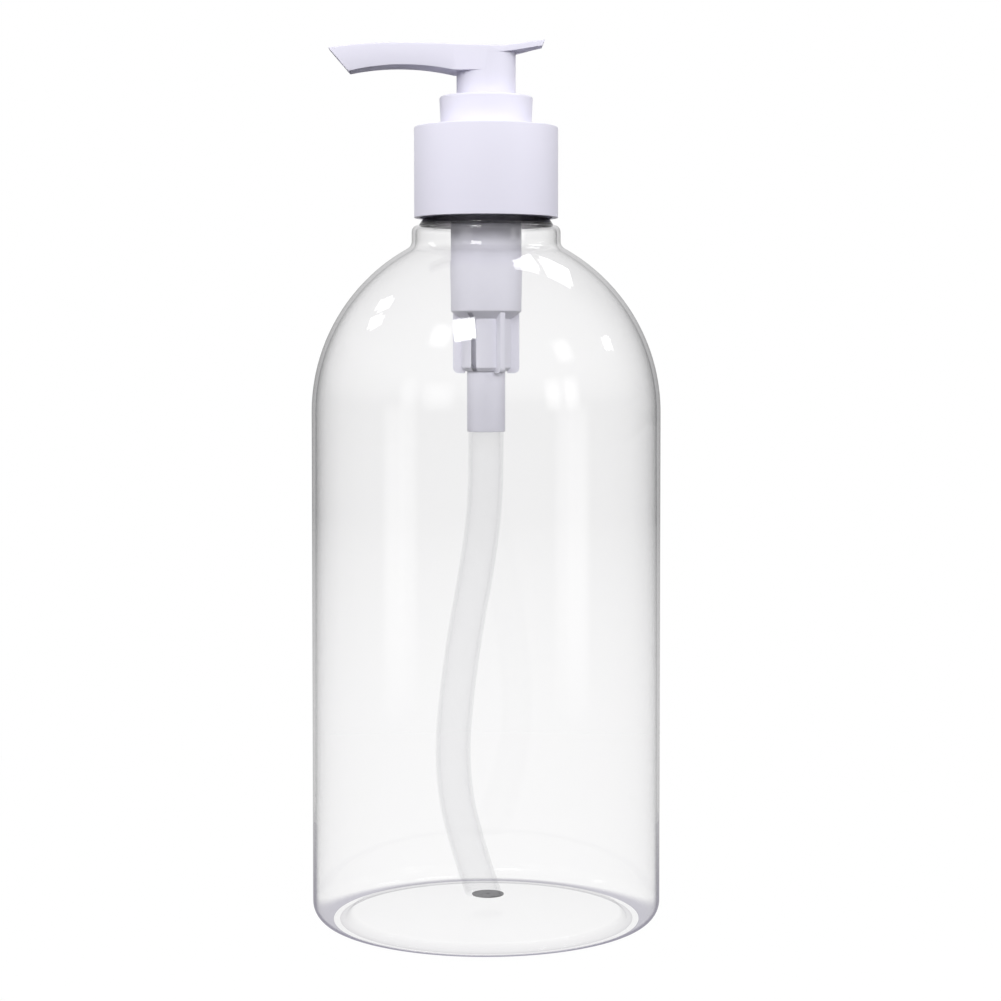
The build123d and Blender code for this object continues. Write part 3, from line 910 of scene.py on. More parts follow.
@dataclass
class NeckBead:
    """Solid bead at the foot of the neck's finish, made dark in depth as painted shade for the closure's
    hollow that shows through the neck.
    """

    radius: float = 14.4
    top_radius: float = 13.3
    inner_radius: float = 12.55
    bottom: float = 147.5
    top: float = 149.22
    rounding: float = 0.3
    spin_steps: int = 160

    def build(self, painted_shade_clear: Material) -> None:
        """Spin the bead and finish it.

        Args:
            painted_shade_clear: Clear plastic made dark in depth, as painted shade.
        """
        pen = Outline("neck_bead_shade", self.inner_radius, self.bottom)
        pen.corner(self.radius, self.bottom, self.rounding)
        pen.corner(self.top_radius, self.top, self.rounding)
        pen.path((self.inner_radius, self.top), (self.inner_radius, self.bottom))
        finish_piece(pen.spin(self.spin_steps), painted_shade_clear, Body.BOTTLE, Slot.CLEAR)


@dataclass
class Closure:
    """Smooth white screw cap with an inner thread."""

    radius: float = 15.25
    wall: float = 1.2
    height: float = 19.1
    hole_radius: float = 8.95
    top_round: float = 0.3
    lip_round: float = 0.1
    lip_steps: int = 4
    thread_bottom: float = 1.5
    thread_top: float = 13.5
    spin_steps: int = 160

    def build(self, white: Material) -> None:
        """Spin the cap, press its thread and finish it.

        Args:
            white: White plastic.
        """
        bottom = CLOSURE_TOP - self.height
        inner = self.radius - self.wall
        pen = Outline("closure_cap", self.hole_radius, CLOSURE_TOP)
        pen.corner(self.radius, CLOSURE_TOP, self.top_round)
        pen.corner(self.radius, bottom, self.lip_round, self.lip_steps)
        pen.path((inner, bottom), (inner, bottom + self.thread_bottom))
        pen.line(inner, bottom + self.thread_top, THREAD_ROWS)
        pen.path((inner, FLANGE_TOP), (self.hole_radius, FLANGE_TOP), (self.hole_radius, CLOSURE_TOP))
        cap = pen.spin(self.spin_steps)
        CLOSURE_THREAD.press(cap)
        finish_piece(cap, white, Body.CLOSURE, Slot.WHITE, "closure")


@dataclass
class LockCollar:
    """White ring above the closure, with the groove of the head's lock thread in its bore."""

    radius: float = 9.9
    draft: float = 0.3
    rounding: float = 0.5
    bore_radius: float = 6.65
    sleeve_radius: float = 7.8
    pocket_radius: float = 8.75
    pocket_top: float = 173.292
    floor_top: float = 168.392
    guide_radius: float = 4.92
    bead_height: float = 171.792
    bead_half: float = 0.6
    bead_depth: float = 0.25
    thread_top: float = COLLAR_TOP - 1.0
    thread_gap: float = 0.6
    thread_rows: int = 24
    spin_steps: int = 128

    def build(self, white: Material) -> None:
        """Spin the ring, press its thread groove and finish it.

        Args:
            white: White plastic.
        """
        foot = self.radius - self.draft
        pen = Outline("lock_ring", foot, COLLAR_BOTTOM)
        pen.corner(self.radius, COLLAR_TOP, self.rounding)
        pen.corner(self.bore_radius, COLLAR_TOP, self.rounding)
        pen.line(self.bore_radius, self.thread_top)
        pen.line(self.bore_radius, self.floor_top + self.thread_gap, self.thread_rows)
        pen.path(
            (self.bore_radius, self.floor_top),
            (self.guide_radius, self.floor_top),
            (self.guide_radius, FLANGE_TOP),
            (self.sleeve_radius, FLANGE_TOP),
            (self.sleeve_radius, self.pocket_top),
            (self.pocket_radius, self.pocket_top),
            (self.pocket_radius, self.bead_height + self.bead_half),
            (self.pocket_radius + self.bead_depth, self.bead_height),
            (self.pocket_radius, self.bead_height - self.bead_half),
            (self.pocket_radius, COLLAR_BOTTOM),
            (foot, COLLAR_BOTTOM),
        )
        ring = pen.spin(self.spin_steps)
        COLLAR_THREAD.press(ring)
        finish_piece(ring, white, Body.PUMP, Slot.WHITE, "lock_collar")


@dataclass
class PumpHead:
    """White head: long arched beak, saddle-shaped top, thin upturned tail and a skirt round the stem."""

    skirt_radius: float = 6.25
    skirt_wall: float = 1.1
    skirt_bottom: float = 168.992
    skirt_top: float = 184.742
    skirt_round: float = 0.3
    thread_top: float = 174.2
    thread_gap: float = 0.5
    thread_rows: int = 20
    pocket_roof: float = 177.492
    socket_radius: float = 4.32
    socket_bottom: float = 170.192
    grip_radius: float = 3.42
    stem_top: float = 178.492
    reach: float = 33.2
    overhang: float = 4.3
    tip_half: float = 2.9
    root: float = 6.9
    arch: float = 1.2
    saddle: float = 5.2
    bulge: float = 0.77
    bulge_lean: float = 0.62
    tip_height: float = 5.0
    tail_reach: float = 12.4
    tail_end: float = 3.0
    tail_rise: float = 1.649
    tail_thickness: float = 1.4
    tail_sag: float = 0.36
    tail_lean: float = 0.8
    tail_corner: float = 0.8
    tail_slant: float = 0.6
    edge_round: float = 0.35
    edge_steps: int = 4
    edge_margin: float = 0.03
    under_round: float = 0.12
    under_steps: int = 2
    under_margin: float = 0.1
    channel_radius: float = 1.5
    channel_length: float = 24.0
    channel_inset: float = 9.0
    channel_height: float = 3.0
    channel_tilt: float = 86.5
    channel_sides: int = 40
    proud: float = 0.015
    beak_steps: int = 28
    root_steps: int = 8
    tail_steps: int = 24
    spin_steps: int = 96

    def arc_height(self, x: float, ends: tuple[Vector, Vector], bulge: float, lean: float = 0.0) -> float:
        """Height of a flat arc over a chord.

        Args:
            x: Place along X.
            ends: Ends of the arc, as (x, height).
            bulge: Height of the arc's middle over the chord.
            lean: How far the bulge leans towards the first end.

        Returns:
            The arc's height at x.
        """
        share = (x - ends[0].x) / (ends[1].x - ends[0].x)
        chord = ends[0].y + share * (ends[1].y - ends[0].y)
        return chord + 4.0 * bulge * share * (1.0 - share) * (1.0 + lean * (1.0 - 2.0 * share))

    def top_height(self, x: float) -> float:
        """Height of the saddle-shaped top over the head's base.

        Args:
            x: Place along X.

        Returns:
            The height there.
        """
        saddle = Vector((0.0, self.saddle))
        if x <= 0.0:
            tip = Vector((-self.reach, self.tip_height))
            return self.arc_height(x, (tip, saddle), self.bulge, self.bulge_lean)
        tail = Vector((self.tail_reach, self.saddle + self.tail_rise))
        return self.arc_height(x, (saddle, tail), -self.tail_sag, self.tail_lean)

    def half_width(self, x: float) -> float:
        """Half the width of the head's plan.

        Args:
            x: Place along X.

        Returns:
            Half the width there.
        """
        radius = self.skirt_radius + self.proud
        taper = math.asin(radius / math.hypot(self.reach, self.tip_half))
        taper -= math.atan2(self.tip_half, self.reach)
        tail_centre = self.tail_reach - self.tail_end
        narrowing = math.asin((radius - self.tail_end) / tail_centre)
        if x < -radius * math.sin(taper):
            return (radius + x * math.sin(taper)) / math.cos(taper)
        if x < radius * math.sin(narrowing):
            return math.sqrt(radius**2 - x**2)
        straight = (radius - x * math.sin(narrowing)) / math.cos(narrowing)
        into_corner = max(0.0, x - self.tail_reach + self.tail_corner)
        return straight - self.tail_corner + math.sqrt(self.tail_corner**2 - into_corner**2)

    def stations(self) -> list[tuple[float, float, float, float]]:
        """List the cross-sections from the tip to the tail.

        Returns:
            Top x, bottom x, top height and bottom height of each.
        """
        tip_low = Vector((self.overhang - self.reach, 0.0))
        root = Vector((-self.root, 0.0))
        rows = []
        for index in range(self.beak_steps):
            share = index / self.beak_steps
            x_top = share * root.x - (1.0 - share) * self.reach
            x_low = tip_low.x + share * (root.x - tip_low.x)
            low = self.arc_height(x_low, (root, tip_low), self.arch)
            rows.append((x_top, x_low, self.top_height(x_top), low))
        for index in range(self.root_steps + 1):
            x = root.x * (1.0 - index / self.root_steps)
            rows.append((x, x, self.top_height(x), 0.0))
        for index in range(1, self.tail_steps + 1):
            share = index / self.tail_steps
            x = self.tail_reach * share
            top = self.top_height(x)
            rows.append((x, x - self.tail_slant * share, top, top - self.tail_thickness))
        return rows

    def beam(self) -> Piece:
        """Shape the beak, top and tail from one long block.

        Returns:
            The beam with sharp edges.
        """
        rows = self.stations()
        beam = add_piece("pump_head", bpy.ops.mesh.primitive_cube_add, size=1.0)
        select_edges(beam, lambda a, b: abs(a.x - b.x) > 0.5)
        bpy.ops.mesh.subdivide(number_cuts=len(rows) - 2)
        leave_edit()
        for vertex in beam.data.vertices:
            x_top, x_low, top, low = rows[round((vertex.co.x + 0.5) * (len(rows) - 1))]
            upper = vertex.co.z > 0.0
            x = x_top if upper else x_low
            side = math.copysign(self.half_width(x), vertex.co.y)
            vertex.co = Vector((x, side, HEAD_BASE + (top if upper else low))) * MM
        clean_mesh(beam)
        return beam

    def soften(self, beam: Piece) -> None:
        """Bevel the rim of the top and the lower edges of the beak.

        Args:
            beam: The head's beam.
        """
        level = HEAD_BASE * MM
        low = (self.arch + self.under_margin) * MM + level

        def on_rim(a: Vector, b: Vector) -> bool:
            """Whether an edge runs along the rim of the top."""
            offsets = [abs(end.z - level - self.top_height(end.x / MM) * MM) for end in (a, b)]
            return max(offsets) < self.edge_margin * MM and a.y * b.y > 0.0

        def under_beak(a: Vector, b: Vector) -> bool:
            """Whether an edge runs along the beak's underside."""
            return max(a.z, b.z) < low and a.y * b.y > 0.0 and max(a.x, b.x) < -self.skirt_radius * MM

        bevel_edges(beam, on_rim, self.edge_round, self.edge_steps, clamp=True)
        bevel_edges(beam, under_beak, self.under_round, self.under_steps, clamp=True)

    def skirt(self) -> Piece:
        """Spin the skirt with its pocket, stem socket and lock thread.

        Returns:
            The skirt.
        """
        inner = self.skirt_radius - self.skirt_wall
        pen = Outline("head_skirt", 0.0, self.skirt_top)
        pen.path((self.skirt_radius, self.skirt_top), (self.skirt_radius, self.thread_top))
        pen.line(self.skirt_radius, self.skirt_bottom + self.thread_gap, self.thread_rows)
        pen.corner(self.skirt_radius, self.skirt_bottom, self.skirt_round)
        pen.path(
            (inner, self.skirt_bottom),
            (inner, self.pocket_roof),
            (self.socket_radius, self.pocket_roof),
            (self.socket_radius, self.socket_bottom),
            (self.grip_radius, self.socket_bottom),
            (self.grip_radius, self.stem_top),
            (0.0, self.stem_top),
        )
        skirt = pen.spin(self.spin_steps)
        SKIRT_THREAD.press(skirt)
        return skirt

    def bore(self) -> Piece:
        """Make the cutter of the nozzle's bore, which follows the beak in from its mouth.

        Returns:
            The cutter.
        """
        middle = Vector((self.channel_inset - self.reach, 0.0, HEAD_BASE + self.channel_height))
        return add_piece(
            "nozzle_bore",
            bpy.ops.mesh.primitive_cylinder_add,
            vertices=self.channel_sides,
            radius=self.channel_radius * MM,
            depth=self.channel_length * MM,
            location=middle * MM,
            rotation=(0.0, math.radians(self.channel_tilt), 0.0),
        )

    def build(self, white: Material) -> None:
        """Build the head in one piece and finish it.

        Args:
            white: White plastic.
        """
        beam = self.beam()
        self.soften(beam)
        combine(beam, self.bore(), "DIFFERENCE")
        join_pieces(beam, self.skirt())
        finish_piece(beam, white, Body.PLUNGER, Slot.WHITE, "actuator")


@dataclass
class PumpHousing:
    """Translucent cylinder with a ribbed valve chamber and a tail socket."""

    radius: float = 7.5
    bore_radius: float = 6.4
    step_round: float = 0.4
    flange_radius: float = 13.0
    rim_radius: float = 8.65
    rim_inner: float = 7.9
    rim_top: float = 173.192
    bead_height: float = 171.792
    bead_half: float = 0.5
    bead: float = 0.25
    ring_top: float = 140.3
    ring_taper: float = 8.0
    ring_depth: float = 0.15
    ring_slope: float = 3.0
    core_radius: float = 5.3
    core_bottom: float = 116.792
    core_chamfer: float = 0.8
    cone: float = 1.6
    tail_radius: float = 4.05
    tail_round: float = 0.12
    tail_steps: int = 3
    socket_radius: float = 3.77
    inlet_radius: float = 2.0
    seat_rise: float = 0.4
    seat_top: float = 119.122
    ball_bore: float = 3.4
    spring_bore: float = 4.2
    chamber_floor: float = 130.592
    rib_radius: float = 7.05
    rib_thickness: float = 1.2
    rib_gap: float = 0.6
    rib_corner: float = 1.2
    rib_corner_steps: int = 6
    rib_round: float = 0.2
    rib_round_steps: int = 3
    rib_inner: float = 4.5
    rib_count: int = 6
    spin_steps: int = 128

    def cylinder(self) -> Piece:
        """Spin the closed section of the cylinder, outside first.

        Returns:
            The cylinder.
        """
        pen = Outline("housing_cylinder", self.socket_radius, TAIL_MOUTH)
        pen.corner(self.tail_radius, TAIL_MOUTH, self.tail_round, self.tail_steps)
        pen.path(
            (self.tail_radius, self.core_bottom),
            (self.core_radius - self.core_chamfer, self.core_bottom),
            (self.core_radius, self.core_bottom + self.core_chamfer),
            (self.core_radius, CYLINDER_BOTTOM - self.cone),
        )
        pen.corner(self.radius, CYLINDER_BOTTOM, self.step_round)
        pen.path(
            (self.radius, self.ring_top - self.ring_taper),
            (self.radius + self.ring_depth, self.ring_top - self.ring_slope * self.ring_depth),
            (self.radius, self.ring_top),
            (self.radius, FLANGE_BOTTOM),
            (self.flange_radius, FLANGE_BOTTOM),
            (self.flange_radius, FLANGE_TOP),
            (self.rim_radius, FLANGE_TOP),
            (self.rim_radius, self.bead_height - self.bead_half),
            (self.rim_radius + self.bead, self.bead_height),
            (self.rim_radius, self.bead_height + self.bead_half),
            (self.rim_radius, self.rim_top),
            (self.rim_inner, self.rim_top),
            (self.rim_inner, FLANGE_TOP),
            (self.bore_radius, FLANGE_TOP),
            (self.bore_radius, self.chamber_floor),
            (self.spring_bore, self.chamber_floor),
            (self.spring_bore, SPRING_LEDGE),
            (self.ball_bore, SPRING_LEDGE),
            (self.ball_bore, self.seat_top),
            (self.inlet_radius, RIBBED_BOTTOM + self.seat_rise),
            (self.inlet_radius, SOCKET_TOP),
            (self.socket_radius, SOCKET_TOP),
            (self.socket_radius, TAIL_MOUTH),
        )
        return pen.spin(self.spin_steps)

    def rib(self, index: int) -> Piece:
        """Model one upright rib with its lower corner rounded.

        Args:
            index: Number of the rib round the axis.

        Returns:
            The rib.
        """
        height = self.chamber_floor - self.rib_gap - RIBBED_BOTTOM
        rib = add_piece(f"housing_rib_{index}", bpy.ops.mesh.primitive_cube_add, size=1.0)
        rib.scale = Vector((self.rib_radius - self.rib_inner, self.rib_thickness, height)) * MM
        rib.location = Vector(((self.rib_radius + self.rib_inner) / 2, 0.0, RIBBED_BOTTOM + height / 2)) * MM
        bpy.ops.object.transform_apply()
        outer = (self.rib_radius - NEAR) * MM
        low = (RIBBED_BOTTOM + NEAR) * MM

        def below(a: Vector, b: Vector) -> bool:
            """Whether an edge is the rib's lower outer one."""
            return min(a.x, b.x) > outer and max(a.z, b.z) < low

        def upright(a: Vector, b: Vector) -> bool:
            """Whether an edge runs up the rib's outer side."""
            return min(a.x, b.x) > outer and abs(a.z - b.z) > MM

        bevel_edges(rib, below, self.rib_corner, self.rib_corner_steps)
        bevel_edges(rib, upright, self.rib_round, self.rib_round_steps)
        rib.rotation_euler.z = TURN * index / self.rib_count
        make_active(rib)
        bpy.ops.object.transform_apply()
        return rib

    def build(self, translucent: Material) -> None:
        """Weld the ribs to the cylinder and finish it.

        Args:
            translucent: Translucent plastic.
        """
        cylinder = self.cylinder()
        for index in range(self.rib_count):
            combine(cylinder, self.rib(index), "UNION")
        finish_piece(cylinder, translucent, Body.PUMP, Slot.TRANSLUCENT, "pump_housing")


@dataclass
class DipTube:
    """Thick milky tube with an S-shaped set, cut level above the floor."""

    radius: float = 3.75
    bore_radius: float = 2.95
    cut_height: float = 4.9
    cut_margin: float = 0.01
    curve_order: int = 3
    curve_steps: int = 24
    section_steps: int = 14
    # A dark disc with a small hole just inside the tube's end: painted shade in the bore
    shade_disc_radius: float = 3.4
    shade_disc_thickness: float = 0.2
    shade_disc_gap: float = 0.02
    lip_round: float = 0.1
    shade_disc_round_steps: int = 3
    mouth_radius: float = 0.4
    spin_steps: int = 48

    def route(self) -> Piece:
        """Lay the tube's smooth centre line.

        Returns:
            A curve with a round section.
        """
        deselect_all()
        bpy.ops.curve.primitive_nurbs_path_add()
        curve = bpy.context.object
        curve.name = "dip_tube_run"
        shape = curve.data
        shape.splines.clear()
        points = (
            (0.0, SOCKET_TOP),
            (0.0, TAIL_MOUTH),
            (-0.27, 84.0),
            (-5.7, 55.0),
            (-7.83, 30.0),
            (-2.54, 10.0),
            (1.06, 0.6),
        )
        spline = shape.splines.new("NURBS")
        spline.points.add(len(points) - 1)
        for point, (x, z) in zip(spline.points, points):
            point.co = (x * MM, 0.0, z * MM, 1.0)
        spline.order_u = self.curve_order
        spline.use_endpoint_u = True
        shape.resolution_u = self.curve_steps
        shape.bevel_depth = self.radius * MM
        shape.bevel_resolution = self.section_steps
        return curve

    def build(self, milky: Material, shade: Material) -> None:
        """Turn the route into a hollow tube, cut it level and finish it.

        Args:
            milky: Milky plastic.
            shade: Dark see-through plastic of the disc in the mouth, painted shade.
        """
        make_active(self.route())
        bpy.ops.object.convert(target="MESH")
        tube = bpy.context.object
        clean_mesh(tube)
        edit_piece(tube)
        plane = Vector((0.0, 0.0, self.cut_height)) * MM
        bpy.ops.mesh.bisect(plane_co=plane, plane_no=(0.0, 0.0, 1.0), clear_inner=True)
        leave_edit()
        modify(tube, "SOLIDIFY", thickness=(self.radius - self.bore_radius) * MM, offset=-1.0)
        finish_piece(tube, milky, Body.PUMP, Slot.MILKY, "dip_tube")
        top = (self.cut_height + self.cut_margin) * MM
        rim = [vertex.co.x for vertex in tube.data.vertices if vertex.co.z < top]
        self.mouth(sum(rim) / len(rim), shade)

    def mouth(self, centre: float, shade: Material) -> None:
        """Put a dark see-through disc with a small hole just inside the tube's end, as painted shade in its
        bore.

        Args:
            centre: Place of the tube's end along X, in metres.
            shade: Dark see-through plastic, painted shade.
        """
        top = self.cut_height - self.shade_disc_gap
        bottom = top - self.shade_disc_thickness
        pen = Outline("tube_mouth_shade", self.mouth_radius, top)
        pen.line(self.shade_disc_radius, top)
        pen.corner(self.shade_disc_radius, bottom, self.lip_round, self.shade_disc_round_steps)
        pen.path((self.mouth_radius, bottom), (self.mouth_radius, top))
        shade_disc = pen.spin(self.spin_steps)
        edit_piece(shade_disc)
        bpy.ops.transform.translate(value=(centre, 0.0, 0.0))
        leave_edit()
        finish_piece(shade_disc, shade, Body.PUMP, Slot.MILKY)


@dataclass
class ReturnSpring:
    """Steel compression spring, wound by a Screw modifier."""

    coil_radius: float = 3.35
    wire_radius: float = 0.35
    turns: int = 5
    seat_gap: float = 0.05
    still_end: float = 0.8
    wire_sides: int = 12
    steps: int = 40

    def build(self, steel: Material) -> None:
        """Wind the wire, close its ends and finish it.

        Args:
            steel: Spring steel.
        """
        low = SPRING_LEDGE + self.wire_radius + self.seat_gap
        rise = VALVE_HEAD - SPRING_LEDGE - 2 * (self.wire_radius + self.seat_gap)
        wire = add_piece(
            "spring_wire",
            bpy.ops.mesh.primitive_circle_add,
            vertices=self.wire_sides,
            radius=self.wire_radius * MM,
            location=(self.coil_radius * MM, 0.0, low * MM),
            rotation=(math.pi / 2, 0.0, 0.0),
        )
        modify(
            wire,
            "SCREW",
            angle=TURN,
            steps=self.steps,
            render_steps=self.steps,
            iterations=self.turns,
            screw_offset=rise / self.turns * MM,
        )
        clean_mesh(wire)
        edit_piece(wire)
        bpy.ops.mesh.fill_holes(sides=0)
        clean_mesh(wire)
        shade_smooth(wire)
        dress(wire, steel)
        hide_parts("return_spring")
        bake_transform(wire)
        log.info("%s: %d faces, stretches with the stroke", wire.name, len(wire.data.polygons))


# Studio


@dataclass(frozen=True)
class Softbox:
    """Area lamp made of one or more panes side by side, in metres and degrees."""

    name: str
    direction: tuple[float, float, float]
    width: float
    height: float
    radiance: float
    use: LampUse
    panes: int = 1
    bar: float = 0.03
    roll: float = 0.0
    distance: float = 0.9
    soft: bool = False

    def fade_edges(self, light: bpy.types.Light) -> None:
        """Let a pane's light fade from its middle to its edges.

        Args:
            light: Light of the pane.
        """
        nodes = Nodes(light)
        spot = nodes.add("ShaderNodeNewGeometry").outputs["Parametric"]
        level = HUMP_SCALE
        for axis in ("X", "Y"):
            along = nodes.part(spot, axis)
            level = nodes.product(along, nodes.math("SUBTRACT", 1.0, along), level)
        glow = nodes.add("ShaderNodeEmission", Strength=level)
        nodes.add("ShaderNodeOutputLight", Surface=glow.outputs[0])

    def place(self, aim: Vector) -> None:
        """Hang the lamp's panes so that they face the aim.

        Args:
            aim: Point that the lamp faces.
        """
        way = Vector(self.direction).normalized()
        turn = Matrix.Rotation(math.radians(self.roll), 3, "Z").to_quaternion()
        facing = (-way).to_track_quat("-Z", "Y") @ turn
        pane = (self.width - self.bar * (self.panes - 1)) / self.panes
        for index in range(self.panes):
            across = (index - (self.panes - 1) / 2) * (pane + self.bar)
            deselect_all()
            bpy.ops.object.light_add(type="AREA")
            lamp = bpy.context.object
            lamp.name = f"{self.name}_{index}"
            lamp.data.shape = "RECTANGLE"
            lamp.data.size = pane
            lamp.data.size_y = self.height
            lamp.data.energy = self.radiance * math.pi * pane * self.height
            lamp.location = aim + way * self.distance + facing @ Vector((across, 0.0, 0.0))
            lamp.rotation_mode = "QUATERNION"
            lamp.rotation_quaternion = facing
            lamp.visible_camera = False
            lamp.visible_glossy = self.use is not LampUse.FILL
            lamp.visible_diffuse = self.use is not LampUse.GLINT
            if self.soft:
                self.fade_edges(lamp.data)
        log.info("%s: %d panes", self.name, self.panes)


# The glints show on the bottle as window shapes and strips, and the fills light the pump evenly
LAMPS = (
    Softbox("left_window", (-0.73, 0.28, 0.60), 0.22, 0.13, 6.0, LampUse.GLINT, 2, 0.05, -40.0),
    Softbox("front_key", (-0.22, -0.60, 0.77), 0.20, 0.22, 14.0, LampUse.GLINT, roll=17.0),
    Softbox("front_faint", (-0.45, -0.55, 0.69), 0.24, 0.26, 2.0, LampUse.GLINT, soft=True),
    Softbox("right_window", (0.35, 0.42, 0.84), 0.40, 0.25, 8.0, LampUse.GLINT, 2, 0.06, 65.0),
    Softbox("right_diamond", (0.85, 0.19, 0.42), 0.08, 0.09, 5.0, LampUse.BOTH, roll=-25.0),
    Softbox("right_middle", (0.73, -0.43, 0.53), 0.24, 0.24, 1.5, LampUse.GLINT, soft=True),
    Softbox("right_low", (0.756, -0.62, 0.16), 0.42, 0.32, 1.4, LampUse.GLINT, panes=2, soft=True),
    Softbox("front_low", (-0.51, -0.84, 0.15), 0.4, 0.3, 0.9, LampUse.GLINT, soft=True),
    Softbox("left_strip", (-0.84, -0.50, -0.2), 0.09, 0.15, 0.8, LampUse.GLINT, distance=0.3, soft=True),
    Softbox("right_strip", (0.84, -0.50, -0.2), 0.09, 0.15, 0.9, LampUse.GLINT, distance=0.3, soft=True),
    Softbox("left_fill", (-0.84, -0.06, 0.53), 0.5, 0.5, 4.2, LampUse.FILL),
    Softbox("right_fill", (0.84, -0.06, 0.53), 0.5, 0.5, 4.0, LampUse.FILL),
    Softbox("front_fill", (0.0, -0.91, 0.41), 1.2, 0.4, 4.7, LampUse.FILL),
    Softbox("rear_fill", (-0.1, 0.93, 0.35), 1.2, 0.5, 1.5, LampUse.FILL),
)


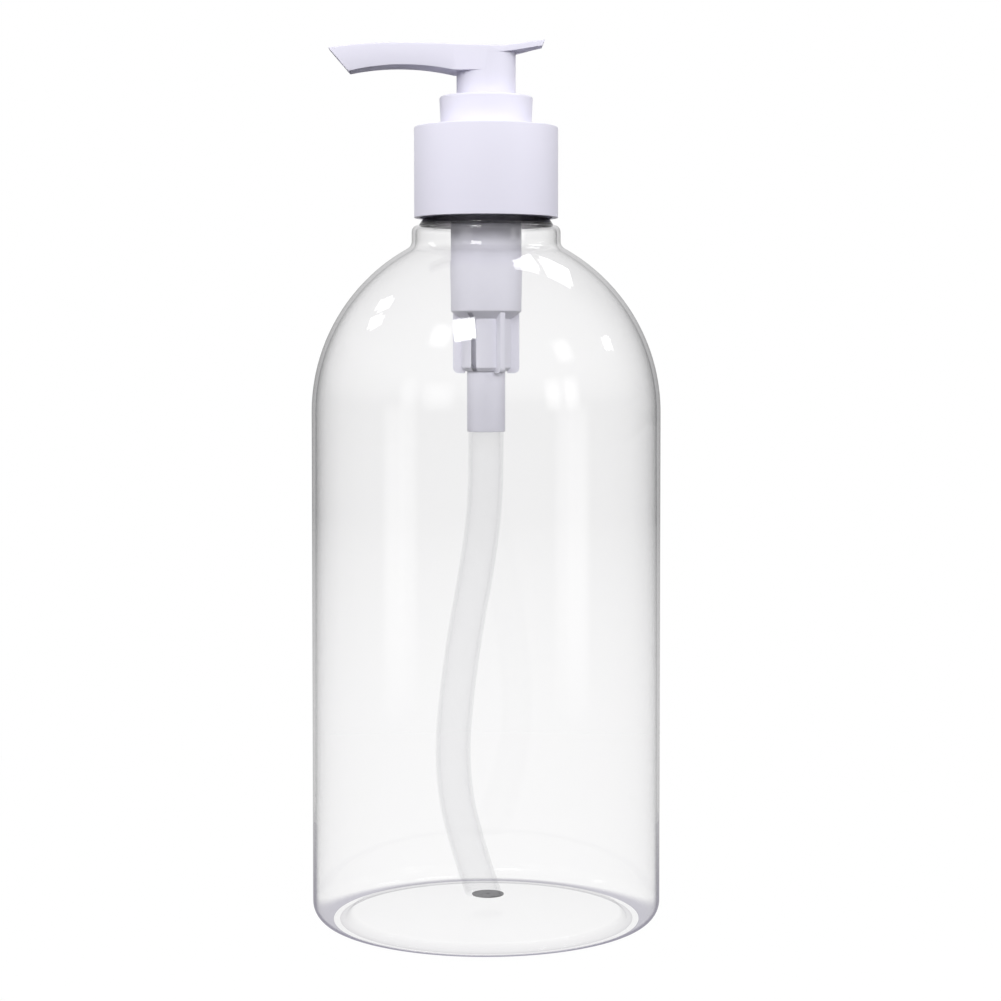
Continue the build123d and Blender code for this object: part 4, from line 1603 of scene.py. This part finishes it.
@dataclass
class Studio:
    """White backdrop, pale floor, soft lamps and the camera."""

    focal_pixels: float = 2290.3
    camera_height: float = 121.0
    camera_distance: float = 487.0
    pitch: float = 2.225
    yaw: float = 0.358
    shift: float = -0.06
    near_clip: float = 0.01
    clear_bounces: int = 24
    fill_up: float = 0.36
    fill_level: float = 0.48
    fill_down: float = 0.08
    below: float = 0.44
    horizon: float = 0.5
    rising: float = 0.68
    overhead: float = 0.8
    flag: float = 0.3
    flag_side: tuple[float, float] = (0.3, 0.65)
    flag_rear: tuple[float, float] = (0.1, 0.55)
    sheen_rise: tuple[float, float] = (0.02, 0.4)
    horizon_gloss: float = 0.55
    horizon_start: float = 0.3
    horizon_end: float = 1.2
    floor_colour: Colour = (0.9, 0.9, 0.9)
    floor_bounce: Colour = (0.08, 0.08, 0.085)
    floor_glow: float = 0.97
    floor_gloss: float = 0.95
    floor_size: float = 6.0
    floor_drop: float = 0.05
    shadow_start: float = 0.08
    shadow_end: float = 0.24
    aim_height: float = 130.0

    def world(self) -> None:
        """Light the surroundings: white where seen, and a soft fill from above for the surfaces."""
        world = bpy.data.worlds.new("studio_world")
        bpy.context.scene.world = world
        nodes = Nodes(world)
        way = nodes.add("ShaderNodeTexCoord").outputs["Generated"]
        rise = nodes.part(way, "Z")
        fill = nodes.add("ShaderNodeValToRGB", nodes.math("MULTIPLY_ADD", rise, 0.5, 0.5))
        levels = (
            (self.below, self.fill_down),
            (self.horizon, self.fill_level),
            (self.rising, self.fill_level),
            (self.overhead, self.fill_up),
        )
        stops = fill.color_ramp.elements
        while len(stops) < len(levels):
            stops.new(1.0)
        for stop, (position, level) in zip(stops, levels):
            stop.position = position
            stop.color = (level, level, level, 1.0)
        path = nodes.add("ShaderNodeLightPath").outputs
        shown = nodes.math("MAXIMUM", path["Is Camera Ray"], path["Is Transmission Ray"])
        dark = nodes.product(
            nodes.spread(nodes.part(way, "X"), *self.flag_side, smooth=True),
            nodes.spread(nodes.part(way, "Y"), *self.flag_rear, smooth=True),
        )
        sheen = nodes.product(
            nodes.spread(rise, *self.sheen_rise, self.horizon_gloss),
            nodes.math("MULTIPLY_ADD", dark, -self.flag, 1.0),
            path["Is Glossy Ray"],
        )
        strength = nodes.math("MAXIMUM", fill.outputs[0], nodes.math("MAXIMUM", shown, sheen))
        glow = nodes.add("ShaderNodeBackground", PURE_WHITE, strength)
        nodes.add("ShaderNodeOutputWorld", Surface=glow.outputs[0])

    def floor_material(self) -> Material:
        """Build the floor's material, which glows white to the eye outside the object's shadow.

        Returns:
            The finished material.
        """
        material = bpy.data.materials.new("studio_floor")
        nodes = Nodes(material)
        path = nodes.add("ShaderNodeLightPath").outputs
        away = nodes.length(nodes.place())
        bounced = nodes.math("MAXIMUM", path["Is Diffuse Ray"], path["Is Glossy Ray"])
        tint = nodes.mix(bounced, (*self.floor_colour, 1.0), (*self.floor_bounce, 1.0))
        shown = nodes.product(
            nodes.math("MAXIMUM", path["Is Camera Ray"], path["Is Transmission Ray"]),
            nodes.spread(away, self.shadow_start, self.shadow_end, self.floor_glow, smooth=True),
        )
        mirrored = nodes.product(
            path["Is Glossy Ray"],
            nodes.spread(away, self.horizon_start, self.horizon_end, self.floor_gloss, self.horizon_gloss),
        )
        surface = nodes.add(
            "ShaderNodeMixShader",
            nodes.math("MAXIMUM", shown, mirrored),
            nodes.add("ShaderNodeBsdfDiffuse", Color=tint).outputs[0],
            nodes.add("ShaderNodeEmission").outputs[0],
        )
        nodes.add("ShaderNodeOutputMaterial", Surface=surface.outputs[0])
        return material

    def floor(self) -> None:
        """Lay the pale floor, which looks white and keeps the object's soft shadow."""
        place = (0.0, 0.0, -self.floor_drop * MM)
        plane = bpy.ops.mesh.primitive_plane_add
        floor = add_piece("studio_floor", plane, size=self.floor_size, location=place)
        dress(floor, self.floor_material())

    def camera(self) -> None:
        """Place the camera at the photograph's viewing angle."""
        deselect_all()
        bpy.ops.object.camera_add(location=Vector((0.0, -self.camera_distance, self.camera_height)) * MM)
        camera = bpy.context.object
        camera.name = "studio_camera"
        camera.rotation_euler = (math.pi / 2 - math.radians(self.pitch), 0.0, -math.radians(self.yaw))
        camera.data.sensor_width = SENSOR_WIDTH
        camera.data.lens = self.focal_pixels * SENSOR_WIDTH / IMAGE_PIXELS
        camera.data.shift_y = self.shift
        camera.data.clip_start = self.near_clip
        bpy.context.scene.camera = camera

    def build(self) -> None:
        """Set up the whole studio."""
        bpy.context.scene.view_settings.view_transform = "Standard"
        bpy.context.scene.cycles.transparent_max_bounces = self.clear_bounces
        self.world()
        self.floor()
        for lamp in LAMPS:
            lamp.place(Vector((0.0, 0.0, self.aim_height)) * MM)
        self.camera()


def main() -> None:
    """Build the pieces in order and set up the studio."""
    logging.basicConfig(level=logging.INFO, format="%(name)s %(message)s")
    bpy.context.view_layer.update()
    surface = moulded_group()
    white = WHITE.material(surface)
    kept = {
        "stem": white,
        "stem_guide": white,
        "valve_rod": white,
        "piston": SOFT.material(surface),
        "gasket": FOAM.material(surface),
        "inlet_ball": BALL_GLASS.material(),
    }
    Bottle().build(CLEAR.material())
    NeckBead().build(PAINTED_SHADE_CLEAR.material())
    Closure().build(white)
    LockCollar().build(white)
    PumpHead().build(SATIN.material(surface))
    PumpHousing().build(TRANSLUCENT.material(surface))
    DipTube().build(MILKY.material(surface), PAINTED_SHADE.material(surface))
    ReturnSpring().build(STEEL.material())
    for node, material in kept.items():
        dress(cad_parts[node], material)
        log.info("%s: CAD node with %s", node, material.name)
    Studio().build()
    deselect_all()


if __name__ == "__main__":
    main()
